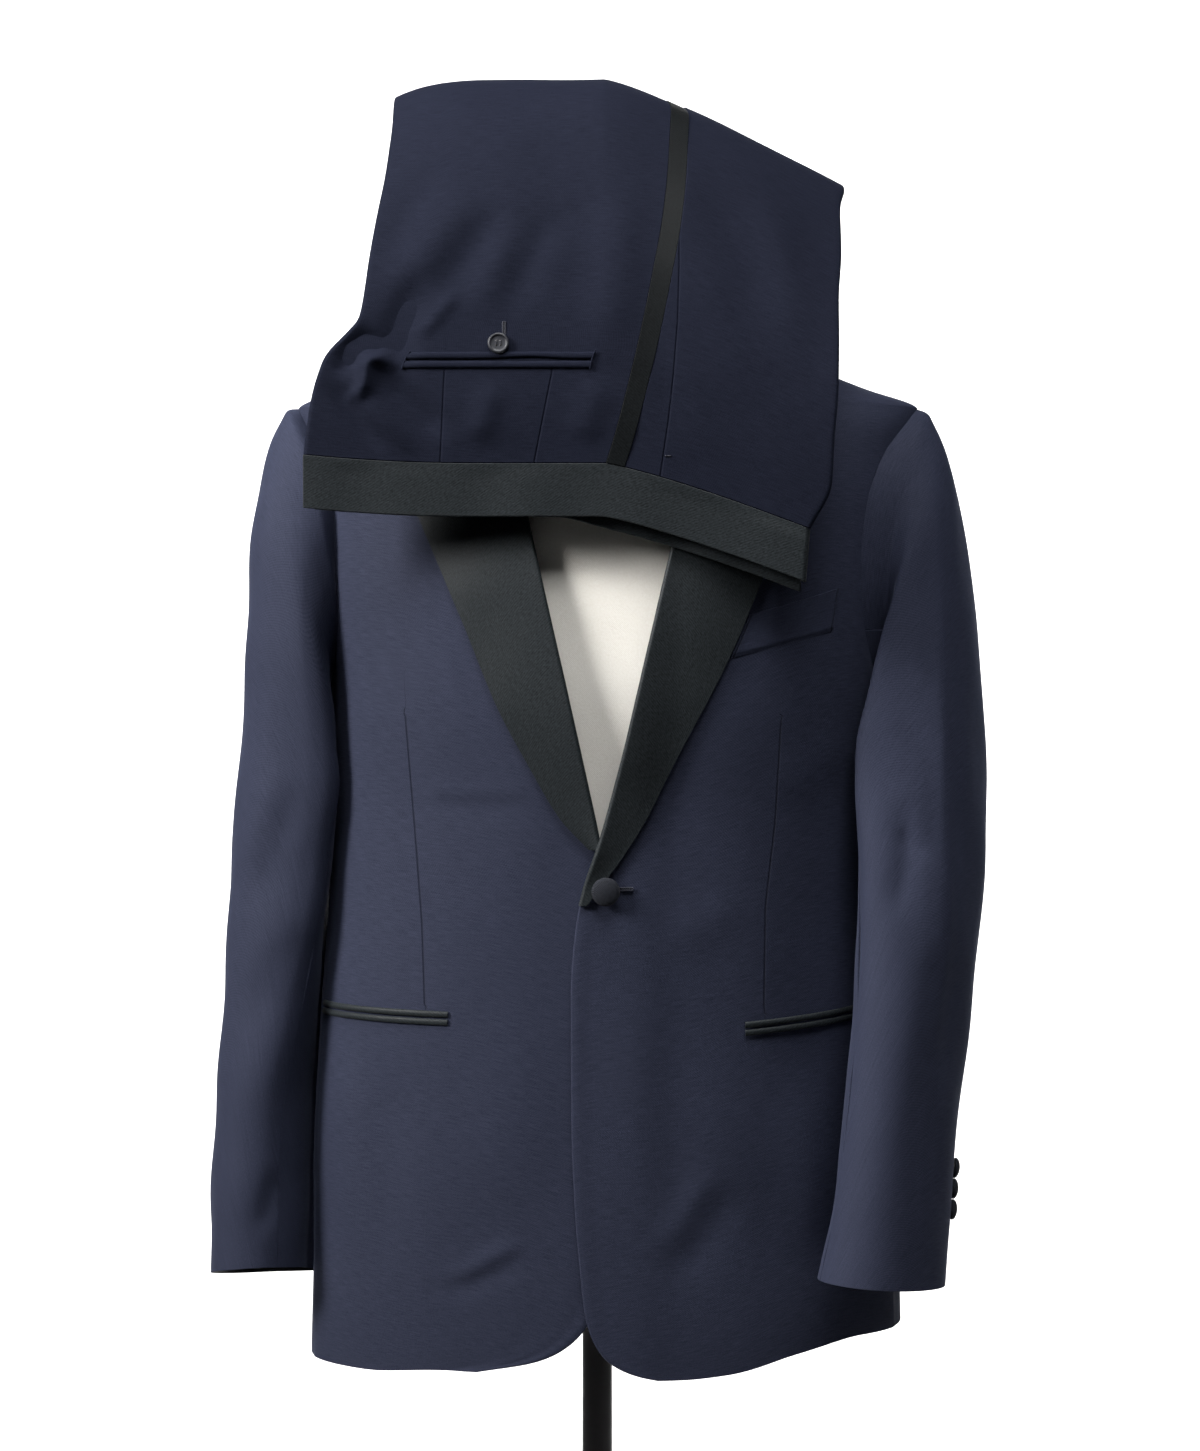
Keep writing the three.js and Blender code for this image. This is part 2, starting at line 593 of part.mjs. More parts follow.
function collar(name) {
  const columns = 28;
  const last = collarRows.length - 1;
  const spot = (i) => last - Math.abs((2 * i) / columns - 1) * last;
  wall(name, darkSatin, columns, collarFolds.length - 1, (i, j, face) => {
    const side = i < columns / 2 ? -1 : 1;
    const point = (u, v) => {
      const low = Math.max(0, Math.min(collarFolds.length - 1, v));
      const k = Math.min(collarFolds.length - 2, Math.floor(low));
      const [a, b] = [collarFolds[k], collarFolds[k + 1]];
      const t = low - k;
      const fold = {};
      for (const value of ['share', 'stand', 'out']) {
        fold[value] = mix(a[value], b[value], t);
      }
      const along = Math.min(last, Math.max(0.001, spot(u)));
      return collarPoint(side * along, fold);
    };
    const start = point(i, j);
    const du = point(Math.min(columns, i + 0.5), j).sub(point(Math.max(0, i - 0.5), j));
    const dv = point(i, j + 0.5).sub(point(i, j - 0.5));
    if (i === columns / 2) {
      du.set(1, 0, 0);
    }
    const normal = du.cross(dv).normalize();
    return start.addScaledVector(normal, face * collarWall);
  });
}

// Pocket trim on the jacket
function hipPocket(pocket) {
  const columns = 12;
  const jets = [
    { name: 'upper', top: 0 },
    { name: 'lower', top: jetHeight + mouthHeight },
  ];
  for (const jet of jets) {
    wall(`pocket_jet_${jet.name}_${pocket.side}`, darkSatin, columns, 1, (i, j, face) => {
      const t = i / columns;
      const z = mix(pocket.z0, pocket.z1, t) - jet.top - j * jetHeight;
      return bodyAt(mix(pocket.angle0, pocket.angle1, t), z, layGap + (1 - face) * trimWall);
    });
  }
}

const weltHeight = 31;
const weltEnd = { x: 172, z: 1261 };
const weltStart = { x: 107, z: 1241 };

function chestWelt(name) {
  const columns = 8;
  const rows = 3;
  wall(name, navyWool, columns, rows, (i, j, face) => {
    const t = i / columns;
    const down = (weltHeight * j) / rows;
    const z = mix(weltStart.z, weltEnd.z, t) - down;
    const x = mix(read(leftLapelEdge, 'z', 'x', z) + 1.5, weltEnd.x - down * 0.15, t);
    return bodyAt(angleAtX(x, z), z, layGap + (1 - face) * trimWall);
  });
}

// Domed button whose back lies at a point, with its axis along the normal
function button(name, finish, diameter, point, normal) {
  const radius = diameter / 2;
  const profile = [
    [0, 0],
    [radius * 0.86, 0],
    [radius, 1.3],
    [radius * 0.94, 2.5],
    [radius * 0.6, 3.9],
    [0, 4.4],
  ];
  const mesh = turned(name, finish, profile, 14);
  mesh.quaternion.setFromUnitVectors(new THREE.Vector3(0, 0, 1), normal);
  mesh.position.copy(point);
}

function jacketButtons() {
  const spot = { x: 6, z: 1047 };
  const angle = angleAtX(spot.x, spot.z);
  const lift = closingLift(spot.x) + 2 * layGap + lapelWall;
  const normal = normalOf(bodyPoint, angle, spot.z, 0.5, 0.6);
  button('front_button', darkButton, frontButtonDiameter, bodyAt(angle, spot.z, lift), normal);
  const arms = [
    { name: 'left', side: 1, rows: leftSleeveRows },
    { name: 'right', side: -1, rows: rightSleeveRows },
  ];
  const firstStation = 10.8;
  const stationStep = 0.216;
  const seamShift = 0.75;
  for (const arm of arms) {
    for (let k = 0; k < 3; k += 1) {
      const station = firstStation + k * stationStep;
      const stop = backSeamStop + seamShift;
      const point = sleeveAt(arm.side, arm.rows, stop, station, layGap);
      const base = sleeveAt(arm.side, arm.rows, stop, station, 0);
      const out = point.clone().sub(base).normalize();
      button(`cuff_button_${arm.name}_${k + 1}`, darkButton, cuffButtonDiameter, point, out);
    }
  }
}

// Trousers
function drapePoint(across, at) {
  const get = (column) => read(drapeRows, 'at', column, at);
  const left = get('left');
  const right = get('right');
  const x = mix(left, right, across);
  const rightShare = Math.max(0, (x - dropStart) / (right - dropStart));
  const leftShare = Math.max(0, (leftDropStart - x) / (leftDropStart - left));
  const drop = get('dropRight') * rightShare ** dropPower + get('dropLeft') * leftShare ** 2;
  const edge = Math.max(rightShare, leftShare);
  return new THREE.Vector3(x, get('y') * (1 - get('pinch') * edge * edge), get('z') - drop);
}

function drapeAt(across, at, depth) {
  const a = Math.min(0.99, Math.max(0.01, across));
  const t = Math.min(drapeEnd - 0.05, Math.max(0.05, at));
  const normal = normalOf(drapePoint, a, t, 0.01, 0.05);
  return drapePoint(across, at).addScaledVector(normal, -depth);
}

const drapeSteps = [0, 1, 2, 3, 4, 5, 6, 7, 8, 8.5, 9, 9.5, 10, 11, 12, 13, 14, 15, 16, 17, 18, 19, 20];

function stripeEdge(at, offset) {
  const width = read(drapeRows, 'at', 'right', at) - read(drapeRows, 'at', 'left', at);
  return read(stripeRows, 'at', 'across', at) + offset / width;
}

function trouserPanel(name, finish, columns, from, to) {
  wall(name, finish, columns, drapeSteps.length - 1, (i, j, face) => {
    const at = drapeSteps[j];
    return drapeAt(mix(from(at), to(at), i / columns), at, face * clothWall);
  });
}

// Inner layers of both legs, with a groove in each edge where one leg lies on the other
function foldedLayers(name) {
  const columns = 8;
  const edgeProfile = [
    { depth: clothWall + layGap, inset: 3 },
    { depth: 3.9, inset: 1.2 },
    { depth: 5.6, inset: 1.6 },
    { depth: 6.8, inset: 5 },
    { depth: 8, inset: 1.2 },
    { depth: 10.4, inset: 0.8 },
    { depth: foldedThickness - seatGap, inset: 4 },
  ];
  const rings = drapeSteps.map((station) => {
    const step = Math.max(station, layersStart);
    const width = read(drapeRows, 'at', 'right', step) - read(drapeRows, 'at', 'left', step);
    const first = edgeProfile[0];
    const last = edgeProfile[edgeProfile.length - 1];
    const groove = 3;
    const leftEdge = edgeProfile.map((row) => drapeAt(row.inset / width, step, row.depth));
    const rightEdge = edgeProfile.map((row) => drapeAt(1 - row.inset / width, step, row.depth));
    const outerFace = [];
    const innerFace = [];
    for (let i = 1; i < columns; i += 1) {
      outerFace.push(drapeAt(i / columns, step, first.depth));
      innerFace.push(drapeAt(1 - i / columns, step, last.depth));
    }
    return [
      ...leftEdge.slice(0, groove + 1).reverse(),
      ...outerFace,
      ...rightEdge,
      ...innerFace,
      ...leftEdge.slice(groove + 1).reverse(),
    ];
  });
  ringStack(name, navyWool, rings);
}

// Waistbands hang below the waist seam. The far one slips lower towards the fly.
function waistband(name, outerDepth, thickness, slip, from) {
  const columns = 16;
  const rows = 2;
  wall(name, darkSatin, columns, rows, (i, j, face) => {
    const across = mix(from, 1, i / columns);
    const point = drapeAt(across, 0, outerDepth + face * thickness);
    point.x -= (3 * across * j) / rows;
    point.z -= seamGap + slip * ease((across - 0.5) / 0.12) + (waistbandHeight * j) / rows;
    return point;
  });
}

function backPocketLips() {
  const lips = [
    { name: 'upper', from: backPocket.mouthAt + 0.015, to: backPocket.upperAt },
    { name: 'lower', from: backPocket.lowerAt, to: backPocket.mouthAt - 0.015 },
  ];
  const columns = 10;
  for (const lip of lips) {
    wall(`back_pocket_lip_${lip.name}`, navyWool, columns, 1, (i, j, face) => {
      const across = mix(backPocket.across0, backPocket.across1, i / columns);
      return drapeAt(across, mix(lip.from, lip.to, j), -seamGap * 2 - (1 - face) * trimWall);
    });
  }
  const spot = backPocketButton;
  const point = drapeAt(spot.across, spot.at, -seamGap * 3 - trimWall);
  const normal = normalOf(drapePoint, spot.across, spot.at, 0.01, 0.05);
  button('back_pocket_button', darkButton, trouserButtonDiameter, point, normal);
}

// Dress form, pole and base
function dressForm() {
  const sides = 28;
  const bodyInset = (z) => clothWall + mix(formClearance, shoulderClearance, ease((z - 1330) / 60));
  const shoulderLevel = (k) => mix(armholeTop, neckHeight, k / shoulderSteps);
  const levels = [868, 890, 950, 1010, 1070, 1130, 1190, 1250, 1300, 1340, 1370, 1390];
  levels.push(...[0, 1, 2].map(shoulderLevel));
  const ring = (z, scale) => {
    const points = [];
    for (let i = 0; i < sides; i += 1) {
      const point = bodyAt((360 * i) / sides - 180, z, -bodyInset(z));
      const mid = read(bodyRows, 'z', 'mid', z);
      const reach = Math.max(-armPlateHalfWidth, Math.min(armPlateHalfWidth, point.x - mid));
      points.push(new THREE.Vector3(mid + reach * scale, point.y * scale, point.z));
    }
    return points;
  };
  const round = (z, halfX, halfY) => {
    const points = [];
    for (let i = 0; i < sides; i += 1) {
      const turn = radians((360 * i) / sides - 180);
      points.push(new THREE.Vector3(halfX * Math.sin(turn), -halfY * Math.cos(turn), z));
    }
    return points;
  };
  const foot = ring(levels[0], 0.94);
  foot.forEach((point) => point.setZ(formBottom));
  const rings = [
    foot,
    ...levels.map((z) => ring(z, 1)),
    ring(shoulderLevel(3), 0.92),
    round(neckHeight, 63, 57),
    round(formNeckBottom, 58, 57),
  ];
  ringStack('form_torso', formCover, rings);
  turned('form_neck', formCover, [
    [0, formNeckBottom + seamGap],
    [formNeckRadius, formNeckBottom + seamGap],
    [formNeckRadius - 1.5, (formNeckBottom + formNeckTop) / 2],
    [formNeckRadius - 1, formNeckTop],
    [0, formNeckTop],
  ], 32);
  const capTop = read(drapeRows, 'at', 'z', 9) - foldedThickness - 3 * seatGap;
  turned('form_neck_cap', blackPaint, [
    [0, formNeckTop + seamGap],
    [formNeckRadius - 2, formNeckTop + seamGap],
    [formNeckRadius - 2.5, capTop - 52],
    [47, capTop - 31],
    [36, capTop - 17],
    [20, capTop - 5],
    [0, capTop],
  ], 32);
}

function stand() {
  const poleRadius = poleDiameter / 2;
  turned('pole_collar', blackPaint, [
    [0, poleTop + seamGap],
    [poleRadius + 6, poleTop + seamGap],
    [poleRadius + 7, poleTop + 3],
    [poleRadius + 7, formBottom - 8],
    [34, formBottom - 5],
    [34, formBottom - seamGap],
    [0, formBottom - seamGap],
  ], 32);
  turned('pole', blackPaint, [
    [0, bossTop + seamGap],
    [poleRadius, bossTop + seamGap],
    [poleRadius, poleTop],
    [0, poleTop],
  ], 24);
  const baseRadius = baseDiameter / 2;
  turned('base', blackPaint, [
    [0, 0],
    [baseRadius - 2, 0],
    [baseRadius, 2],
    [baseRadius, baseThickness - 4],
    [baseRadius - 4, baseThickness],
    [36, baseThickness + 2],
    [22, baseThickness + 8],
    [poleRadius + 7, bossTop - 3],
    [poleRadius + 4, bossTop],
    [0, bossTop],
  ], 40);
}

function flat() {
  return 0;
}

frontPanel('jacket_front_left', 1, leftFrontEdge, closingLift);
frontPanel('jacket_front_right', -1, rightFrontEdge, flat);
sidePanel('jacket_side_left', 1);
sidePanel('jacket_side_right', -1);
backPanel('jacket_back_left', 1);
backPanel('jacket_back_right', -1);
sleevePart('sleeve_top_left', 1, leftSleeveRows, backSeamStop, frontSeamStop);
sleevePart('sleeve_under_left', 1, leftSleeveRows, frontSeamStop, backSeamStop + armStops);
sleevePart('sleeve_top_right', -1, rightSleeveRows, backSeamStop, frontSeamStop);
sleevePart('sleeve_under_right', -1, rightSleeveRows, frontSeamStop, backSeamStop + armStops);
lapel('lapel_left', 1, leftFrontEdge, leftLapelEdge, closingLift);
lapel('lapel_right', -1, rightFrontEdge, rightLapelEdge, flat);
collar('collar');
hipPockets.forEach(hipPocket);
chestWelt('chest_welt');
jacketButtons();

const halfStripe = stripeWidth / 2;
const stripeSide = (offset) => (at) => stripeEdge(at, offset);
trouserPanel('trouser_back_panel', navyWool, 9, () => 0, stripeSide(-halfStripe - seamGap));
trouserPanel('trouser_stripe', darkSatin, 1, stripeSide(-halfStripe), stripeSide(halfStripe));
trouserPanel('trouser_front_panel', navyWool, 6, stripeSide(halfStripe + seamGap), () => 1);
foldedLayers('trouser_folded_layers');
waistband('waistband_near', 0, 2.4, 0, 0);
waistband('waistband_far', 8, 3, 8, 0.02);
backPocketLips();
dressForm();
stand();

export default suit;
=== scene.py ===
"""Looks of a dinner suit on a limbless dress form.

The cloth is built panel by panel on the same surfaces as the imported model, with finer folds, seams
and edges. Surface functions work in millimetres in the model's frame (-Y front, +Z up, +X the wearer's
left), and meshes are made in metres.
"""

import math

import bpy
import numpy as np
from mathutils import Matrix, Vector


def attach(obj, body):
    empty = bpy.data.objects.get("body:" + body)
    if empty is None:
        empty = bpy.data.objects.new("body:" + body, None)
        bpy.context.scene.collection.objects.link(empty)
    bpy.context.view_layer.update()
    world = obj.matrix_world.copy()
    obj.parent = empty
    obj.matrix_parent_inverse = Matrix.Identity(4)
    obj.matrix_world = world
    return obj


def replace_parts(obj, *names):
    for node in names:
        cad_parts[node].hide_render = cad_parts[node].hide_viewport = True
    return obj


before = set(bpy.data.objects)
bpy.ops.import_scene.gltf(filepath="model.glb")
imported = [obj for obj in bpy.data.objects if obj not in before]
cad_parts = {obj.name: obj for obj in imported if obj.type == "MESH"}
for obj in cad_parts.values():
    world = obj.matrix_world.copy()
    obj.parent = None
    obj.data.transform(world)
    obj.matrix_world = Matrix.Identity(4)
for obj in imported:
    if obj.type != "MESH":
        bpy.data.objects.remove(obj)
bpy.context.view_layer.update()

MM = 0.001
CLOTH = 1.6
CLOTH_WALL = 2.0
LAY_GAP = 0.8
SEAM_TUCK = 1.8
LAPEL_WALL = 2.2
COLLAR_WALL = 1.6
ROUNDNESS = 2.3
ARMHOLE_TOP = 1397
ARMHOLE_LOW = 1183
ARMHOLE_SPREAD = {1: 32, -1: 20}
ARMHOLE_BACK_SPREAD = 27
NECK_HEIGHT = 1460
NECK_EDGE_ANGLE = 84
JOIN_STOP = 10
STOPS = 24
FRONT_SEAM_STOP = 8
BACK_SEAM_STOP = -4


def table(columns, rows):
    """Columns of a table by name; the first column is the key."""
    return dict(zip(columns.split(), np.array(rows, float).T))


BODY = table("z half front back mid", [
    (690, 218, 117, 125, 7), (760, 216, 120, 128, 7), (850, 212, 122, 130, 7),
    (930, 207, 124, 126, 7), (1050, 197, 128, 114, 7), (1100, 196, 130, 112, 7),
    (1180, 203, 135, 120, 7), (1250, 208, 133, 127, 7), (1320, 212, 120, 124, 8),
    (1360, 218, 102, 114, 8.5), (1385, 227, 84, 102, 8.5), (1397, 229, 73, 95, 8),
    (1410, 194, 66, 91, 7), (1425, 158, 59, 86, 5), (1440, 122, 53, 82, 3), (1460, 78, 46, 75, 0),
])
HEM = table("angle z", [
    (-180, 713), (-135, 707), (-90, 702), (-50, 702), (-28, 706), (0, 703), (10, 701), (20, 704),
    (35, 716), (55, 725), (90, 725), (135, 720), (180, 713),
])
LEFT_FRONT_EDGE = table("z x", [
    (701, 44), (703, 32), (708, 17), (716, 6), (732, -3.4), (745, -7), (780, -11), (817, -14),
    (880, -16.6), (976, -17), (1020, -13.7), (1045, -8.5), (1073, 1.3), (1097, 8.3), (1279, 52),
    (1400, 81), (1460, 95),
])
RIGHT_FRONT_EDGE = table("z x", [
    (703, -94), (708, -70), (712, -50), (719, -32), (730, -17), (743, -7), (770, 6), (800, 12),
    (850, 16), (1000, 16), (1040, 13), (1075, 0.6), (1097, -3.6), (1307, -50), (1400, -70.5),
    (1460, -84),
])
LEFT_LAPEL_EDGE = table("z x", [
    (1037, -7), (1051, 3), (1068, 15.7), (1097, 33.9), (1133, 51.8), (1207, 90.5), (1264, 115),
    (1352, 150),
])
RIGHT_LAPEL_EDGE = table("z x", [
    (1076, -6), (1097, -25.4), (1131, -45.7), (1175, -69.3), (1243, -97), (1311, -126.5), (1352, -146),
])
PEAK = table("across z", [(0, 1402), (0.5, 1368), (0.78, 1340), (1, 1352)])
COLLAR = table("at roll_angle roll_z lift edge_angle edge_z", [
    (0, 21, 1406, 5, 33, 1366), (1, 33, 1430, 10, 37, 1394), (2, 52, 1448, 17, 54, 1419),
    (3, 76, 1458, 24, 77, 1433), (4, 100, 1461, 28, 98, 1436), (5, 125, 1461, 30, 124, 1439),
    (6, 152, 1461, 31, 152, 1444), (7, 180, 1461, 32, 180, 1446),
])
COLLAR_FOLDS = table("fold share stand out", [
    (0, 0, 0.02, -1.5), (1, 0, 0.8, -1.5), (2, 0, 1, 1.5), (3, 0.04, 0.92, 4.5),
    (4, 0.45, 0.42, 3), (5, 1, 0, 0),
])
SLEEVE_COLUMNS = "at out_x out_z in_x in_z y deep turn bow rise"
LEFT_SLEEVE = table(SLEEVE_COLUMNS, [
    (1, 245, 1393, 215, 1181, -1, 61, 0, 18, 0), (2, 254, 1374, 218, 1178, -4, 65, 2, 13, 0),
    (3, 264, 1340, 220, 1172, -9, 70, 7, 7, 0), (4, 272, 1290, 217, 1162, -14, 74, 13, 3, 0),
    (5, 276, 1235, 213, 1150, -22, 76, 18, 0, 0), (6, 277, 1186, 208, 1134, -31, 76, 22, 0, 0),
    (7, 278, 1136, 205, 1108, -40, 75, 24, 0, 0), (8, 276, 1071, 199, 1062, -54, 73, 25, 0, 0),
    (9, 263, 963, 190, 963, -82, 63, 28, 0, 0), (10, 253, 900, 182, 900, -97, 57, 31, 0, 0),
    (11, 244, 836, 175, 836, -112, 53, 35, 0, 2), (12, 239, 770, 161, 774, -122, 53, 40, 0, 4),
])
RIGHT_SLEEVE = table(SLEEVE_COLUMNS, [
    (1, -230, 1396, -206, 1181, 0, 61, 0, 24, 0), (2, -240, 1376, -209, 1178, 0, 65, 0, 18, 0),
    (3, -249, 1344, -211, 1172, 1, 70, 0, 9, 0), (4, -256, 1296, -211, 1164, 2, 74, 0, 3, 0),
    (5, -259, 1238, -209, 1152, 3, 76, 0, 0, 0), (6, -261, 1186, -207, 1136, 4, 76, 0, 0, 0),
    (7, -265, 1134, -201, 1112, 4, 74, 0, 0, 0), (8, -270, 1070, -201, 1064, 4, 70, 0, 0, 0),
    (9, -277, 960, -207, 960, 0, 62, 0, 0, 3), (10, -281, 890, -211, 890, -4, 58, 0, 0, 5),
    (11, -284, 824, -213, 826, -9, 55, 0, 0, 8), (12, -284, 760, -214, 764, -15, 53, 0, 0, 10),
])
SIDE_SWELL = table("z swell", [(690, 0), (760, 1), (850, 4), (930, 6), (1050, 7), (1110, 5), (1183, 0)])
RIGHT_ARM_REACH = table("at front corner back", [
    (1, 0, 7, 0), (2, 5, 10, 0), (3, 12, 13, 0), (4, 20, 16, 0), (5, 26, 18, 0), (6, 29, 17, 0),
    (7, 28, 15, 2), (8, 24, 11, 6), (9, 12, 5, 16), (10, 3, 0, 22), (11, 0, 0, 28), (12, 0, 0, 30),
])
LEFT_ARM_REACH = table("at reach", [
    (1, 0), (2, 5), (3, 14), (4, 22), (5, 26), (6, 27), (7, 24), (8, 12), (9, 2), (10, 0),
])
DRAPE = table("at y z left right drop_left drop_right pinch", [
    (0, -144, 1346, -205, 149, -6, 46, 0), (1, -144.5, 1381, -201, 164, -2, 50, 0),
    (2, -143, 1416, -192, 166, 0, 53, 0), (3, -138, 1451, -166, 169, 0, 56, 0),
    (4, -128, 1491, -161, 171, 0, 59, 0.03), (5, -112, 1530, -156, 173, 1, 62, 0.08),
    (6, -90, 1570, -152, 177, 3, 66, 0.16), (7, -62, 1608, -150, 178, 7, 70, 0.25),
    (8, -32, 1632, -150.5, 183, 12, 76, 0.3), (9, 0, 1641, -151, 184, 14, 79, 0.3),
    (10, 32, 1632, -150, 183, 12, 76, 0.3), (11, 62, 1606, -149, 180, 7, 68, 0.25),
    (12, 84, 1566, -148, 176, 3, 58, 0.14), (13, 102, 1520, -146, 171, 1, 46, 0.06),
    (14, 117, 1470, -143, 166, 0, 35, 0.02), (15, 129, 1410, -138, 160, 0, 26, 0),
    (16, 138, 1340, -131, 152, 0, 18, 0), (17, 142, 1260, -122, 142, 0, 12, 0),
    (18, 143, 1180, -112, 131, 0, 8, 0), (19, 143, 1100, -105, 122, 0, 5, 0),
    (20, 142, 1000, -98, 112, 0, 2, 0),
])
DRAPE_TOP = 1641
DROP_START = 5
LEFT_DROP_START = -85
DRAPE_END = 20
STRIPE_FRONT = table("z x", [
    (1330, 7), (1344, 12.4), (1361, 18), (1399, 28), (1433, 36.2), (1478, 45.3), (1521, 52.9), (1559, 57.3),
    (1607, 60.4),
])
STRIPE_BACK = table("at x", [(8, 60.4), (12, 46.4), (16, 24.7), (20, 7)])
STRIPE_WIDTH = 13


# Numbers


def read(rows, column, at):
    """Value of a table's column at a place between its rows, on a line that never overshoots."""
    keys, values = next(iter(rows.values())), rows[column]
    at = np.clip(np.asarray(at, float), keys[0], keys[-1])
    slopes = np.diff(values) / np.diff(keys)
    before, after = slopes[:-1], slopes[1:]
    same = before * after > 0
    inner = np.where(same, 2 * before * after / np.where(same, before + after, 1), 0)
    tangents = np.concatenate([slopes[:1], inner, slopes[-1:]])
    k = np.clip(np.searchsorted(keys, at, side="right") - 1, 0, len(keys) - 2)
    span = keys[k + 1] - keys[k]
    t = (at - keys[k]) / span
    start = (1 + 2 * t) * (1 - t) ** 2 * values[k] + t * t * (3 - 2 * t) * values[k + 1]
    return start + span * (t * (1 - t) ** 2 * tangents[k] - t * t * (1 - t) * tangents[k + 1])


def mix(a, b, t):
    return a + (b - a) * t


def ease(t):
    t = np.clip(t, 0, 1)
    return t * t * (3 - 2 * t)


def signed_power(value, power):
    return np.sign(value) * np.abs(value) ** power


def row_of(count):
    """Shares from 0 to 1 across the columns of a grid."""
    return np.linspace(0, 1, count)[None, :]


def column_of(count):
    """Shares from 0 to 1 down the rows of a grid."""
    return np.linspace(0, 1, count)[:, None]


def within(share, start, end):
    """0 at both ends of a share from 0 to 1, rising to 1 over the given parts of it."""
    return ease(share / start) * ease((1 - share) / end)


def stack(x, y, z):
    return np.stack(np.broadcast_arrays(x, y, z), axis=-1).astype(float)


def unit(v):
    return v / np.maximum(np.linalg.norm(v, axis=-1, keepdims=True), 1e-9)


def smooth(points, passes, axis=0):
    """Evens out a grid along one axis, with its first and last lines kept."""
    points = np.moveaxis(points.copy(), axis, 0)
    for _ in range(passes):
        points[1:-1] += 0.5 * ((points[:-2] + points[2:]) / 2 - points[1:-1])
    return np.moveaxis(points, 0, axis)


def unevenness(points, size, height, seed):
    """Slow random swell of hanging cloth: a sum of waves of about the given size."""
    chance = np.random.default_rng(seed)
    total = np.zeros(points.shape[:-1])
    waves = 14
    for _ in range(waves):
        direction = chance.normal(size=3) * (1, 1, 0.55)
        wave = direction / np.linalg.norm(direction) * 2 * math.pi / (size * chance.uniform(0.6, 1.7))
        total += np.sin(points @ wave + chance.uniform(0, 2 * math.pi))
    return height * total / math.sqrt(waves)


def path_distance(x, z, path):
    """Distance to a path of (x, z) points, how far along it, and its length."""
    best = np.full(np.shape(x), 1e9)
    along = np.zeros(np.shape(x))
    travelled = 0.0
    for (x0, z0), (x1, z1) in zip(path, path[1:]):
        dx, dz = x1 - x0, z1 - z0
        length = math.hypot(dx, dz)
        t = np.clip(((x - x0) * dx + (z - z0) * dz) / length**2, 0, 1)
        gap = np.hypot(x - x0 - t * dx, z - z0 - t * dz)
        nearer = gap < best
        best = np.where(nearer, gap, best)
        along = np.where(nearer, travelled + t * length, along)
        travelled += length
    return best, along, travelled


def crease(x, z, path, width, height):
    """Soft ridge (height above zero) or trough along a path, fading out at both ends."""
    gap, along, length = path_distance(x, z, path)
    fade = length * 0.35
    ends = ease(along / fade) * ease((length - along) / fade)
    return height * np.exp(-((gap / width) ** 2)) * ends


def creases(points, folds):
    x, z = points[..., 0], points[..., 2]
    return sum((crease(x, z, path, width, height) for path, width, height in folds), np.zeros_like(x))


# Surfaces of the worn jacket


def body_point(angle, z):
    s, c = np.sin(np.radians(angle)), np.cos(np.radians(angle))
    depth = np.where(c >= 0, read(BODY, "front", z), read(BODY, "back", z))
    x = read(BODY, "mid", z) + read(BODY, "half", z) * signed_power(s, 2 / ROUNDNESS)
    x = x - read(SIDE_SWELL, "swell", z) * np.maximum(0, -s) ** 5
    return stack(x, -depth * signed_power(c, 2 / ROUNDNESS), z)


def body_normal(angle, z):
    along_angle = body_point(angle + 0.5, z) - body_point(angle - 0.5, z)
    along_z = body_point(angle, z + 1.5) - body_point(angle, z - 1.5)
    return unit(np.cross(along_angle, along_z))


def body_at(angle, z, lift):
    return body_point(angle, z) + body_normal(angle, z) * np.asarray(lift, float)[..., None]


def angle_at_x(x, z):
    share = (x - read(BODY, "mid", z)) / read(BODY, "half", z)
    sine = np.minimum(1, np.abs(share)) ** (ROUNDNESS / 2) * np.sign(share)
    return np.degrees(np.arcsin(sine))


def closing_lift(x):
    """How far the left front lies over the right one near the closing."""
    return (CLOTH_WALL + 2 * LAY_GAP) * (1 - ease((x - 24) / 36))


def armhole(stop, side, inset=0.0):
    """Angle and height on the armhole's oval. Stop 0 is the shoulder tip, 12 the armpit."""
    turn = 2 * math.pi * np.asarray(stop, float) / STOPS
    middle = (ARMHOLE_TOP + ARMHOLE_LOW) / 2
    half = (ARMHOLE_TOP - ARMHOLE_LOW) / 2 - inset
    opening = np.where(np.sin(turn) < 0, ARMHOLE_BACK_SPREAD, ARMHOLE_SPREAD[side])
    spread = opening - math.degrees(inset / BODY["half"][0])
    angle = 90 - spread * signed_power(np.sin(turn), 0.9)
    return angle, middle + half * signed_power(np.cos(turn), 0.9)


HEM_ZONE, ARM_ZONE, SHOULDER_ZONE = 12, JOIN_STOP, 4


def panel_rows(hem_lines=130, arm_lines=64, shoulder_lines=34):
    """Rows of a body panel: hem to armhole foot, up the armhole, then over the shoulder."""
    hem = HEM_ZONE * np.linspace(0, 1, hem_lines) ** 0.8
    arm = HEM_ZONE + ARM_ZONE * np.linspace(0, 1, arm_lines)[1:]
    shoulder = HEM_ZONE + ARM_ZONE + SHOULDER_ZONE * np.linspace(0, 1, shoulder_lines)[1:]
    return np.concatenate([hem, arm, shoulder])


def row_height(row, angle):
    row = np.asarray(row, float)
    join = armhole(JOIN_STOP, 1)[1]
    arm_end = HEM_ZONE + ARM_ZONE
    hem = mix(read(HEM, "z", angle), join, np.clip(row / HEM_ZONE, 0, 1) ** 1.8)
    arm = armhole(np.clip(arm_end - row, 0, JOIN_STOP), 1)[1]
    shoulder = mix(ARMHOLE_TOP, NECK_HEIGHT, (row - arm_end) / SHOULDER_ZONE)
    return np.where(row <= HEM_ZONE, hem, np.where(row <= arm_end, arm, shoulder))


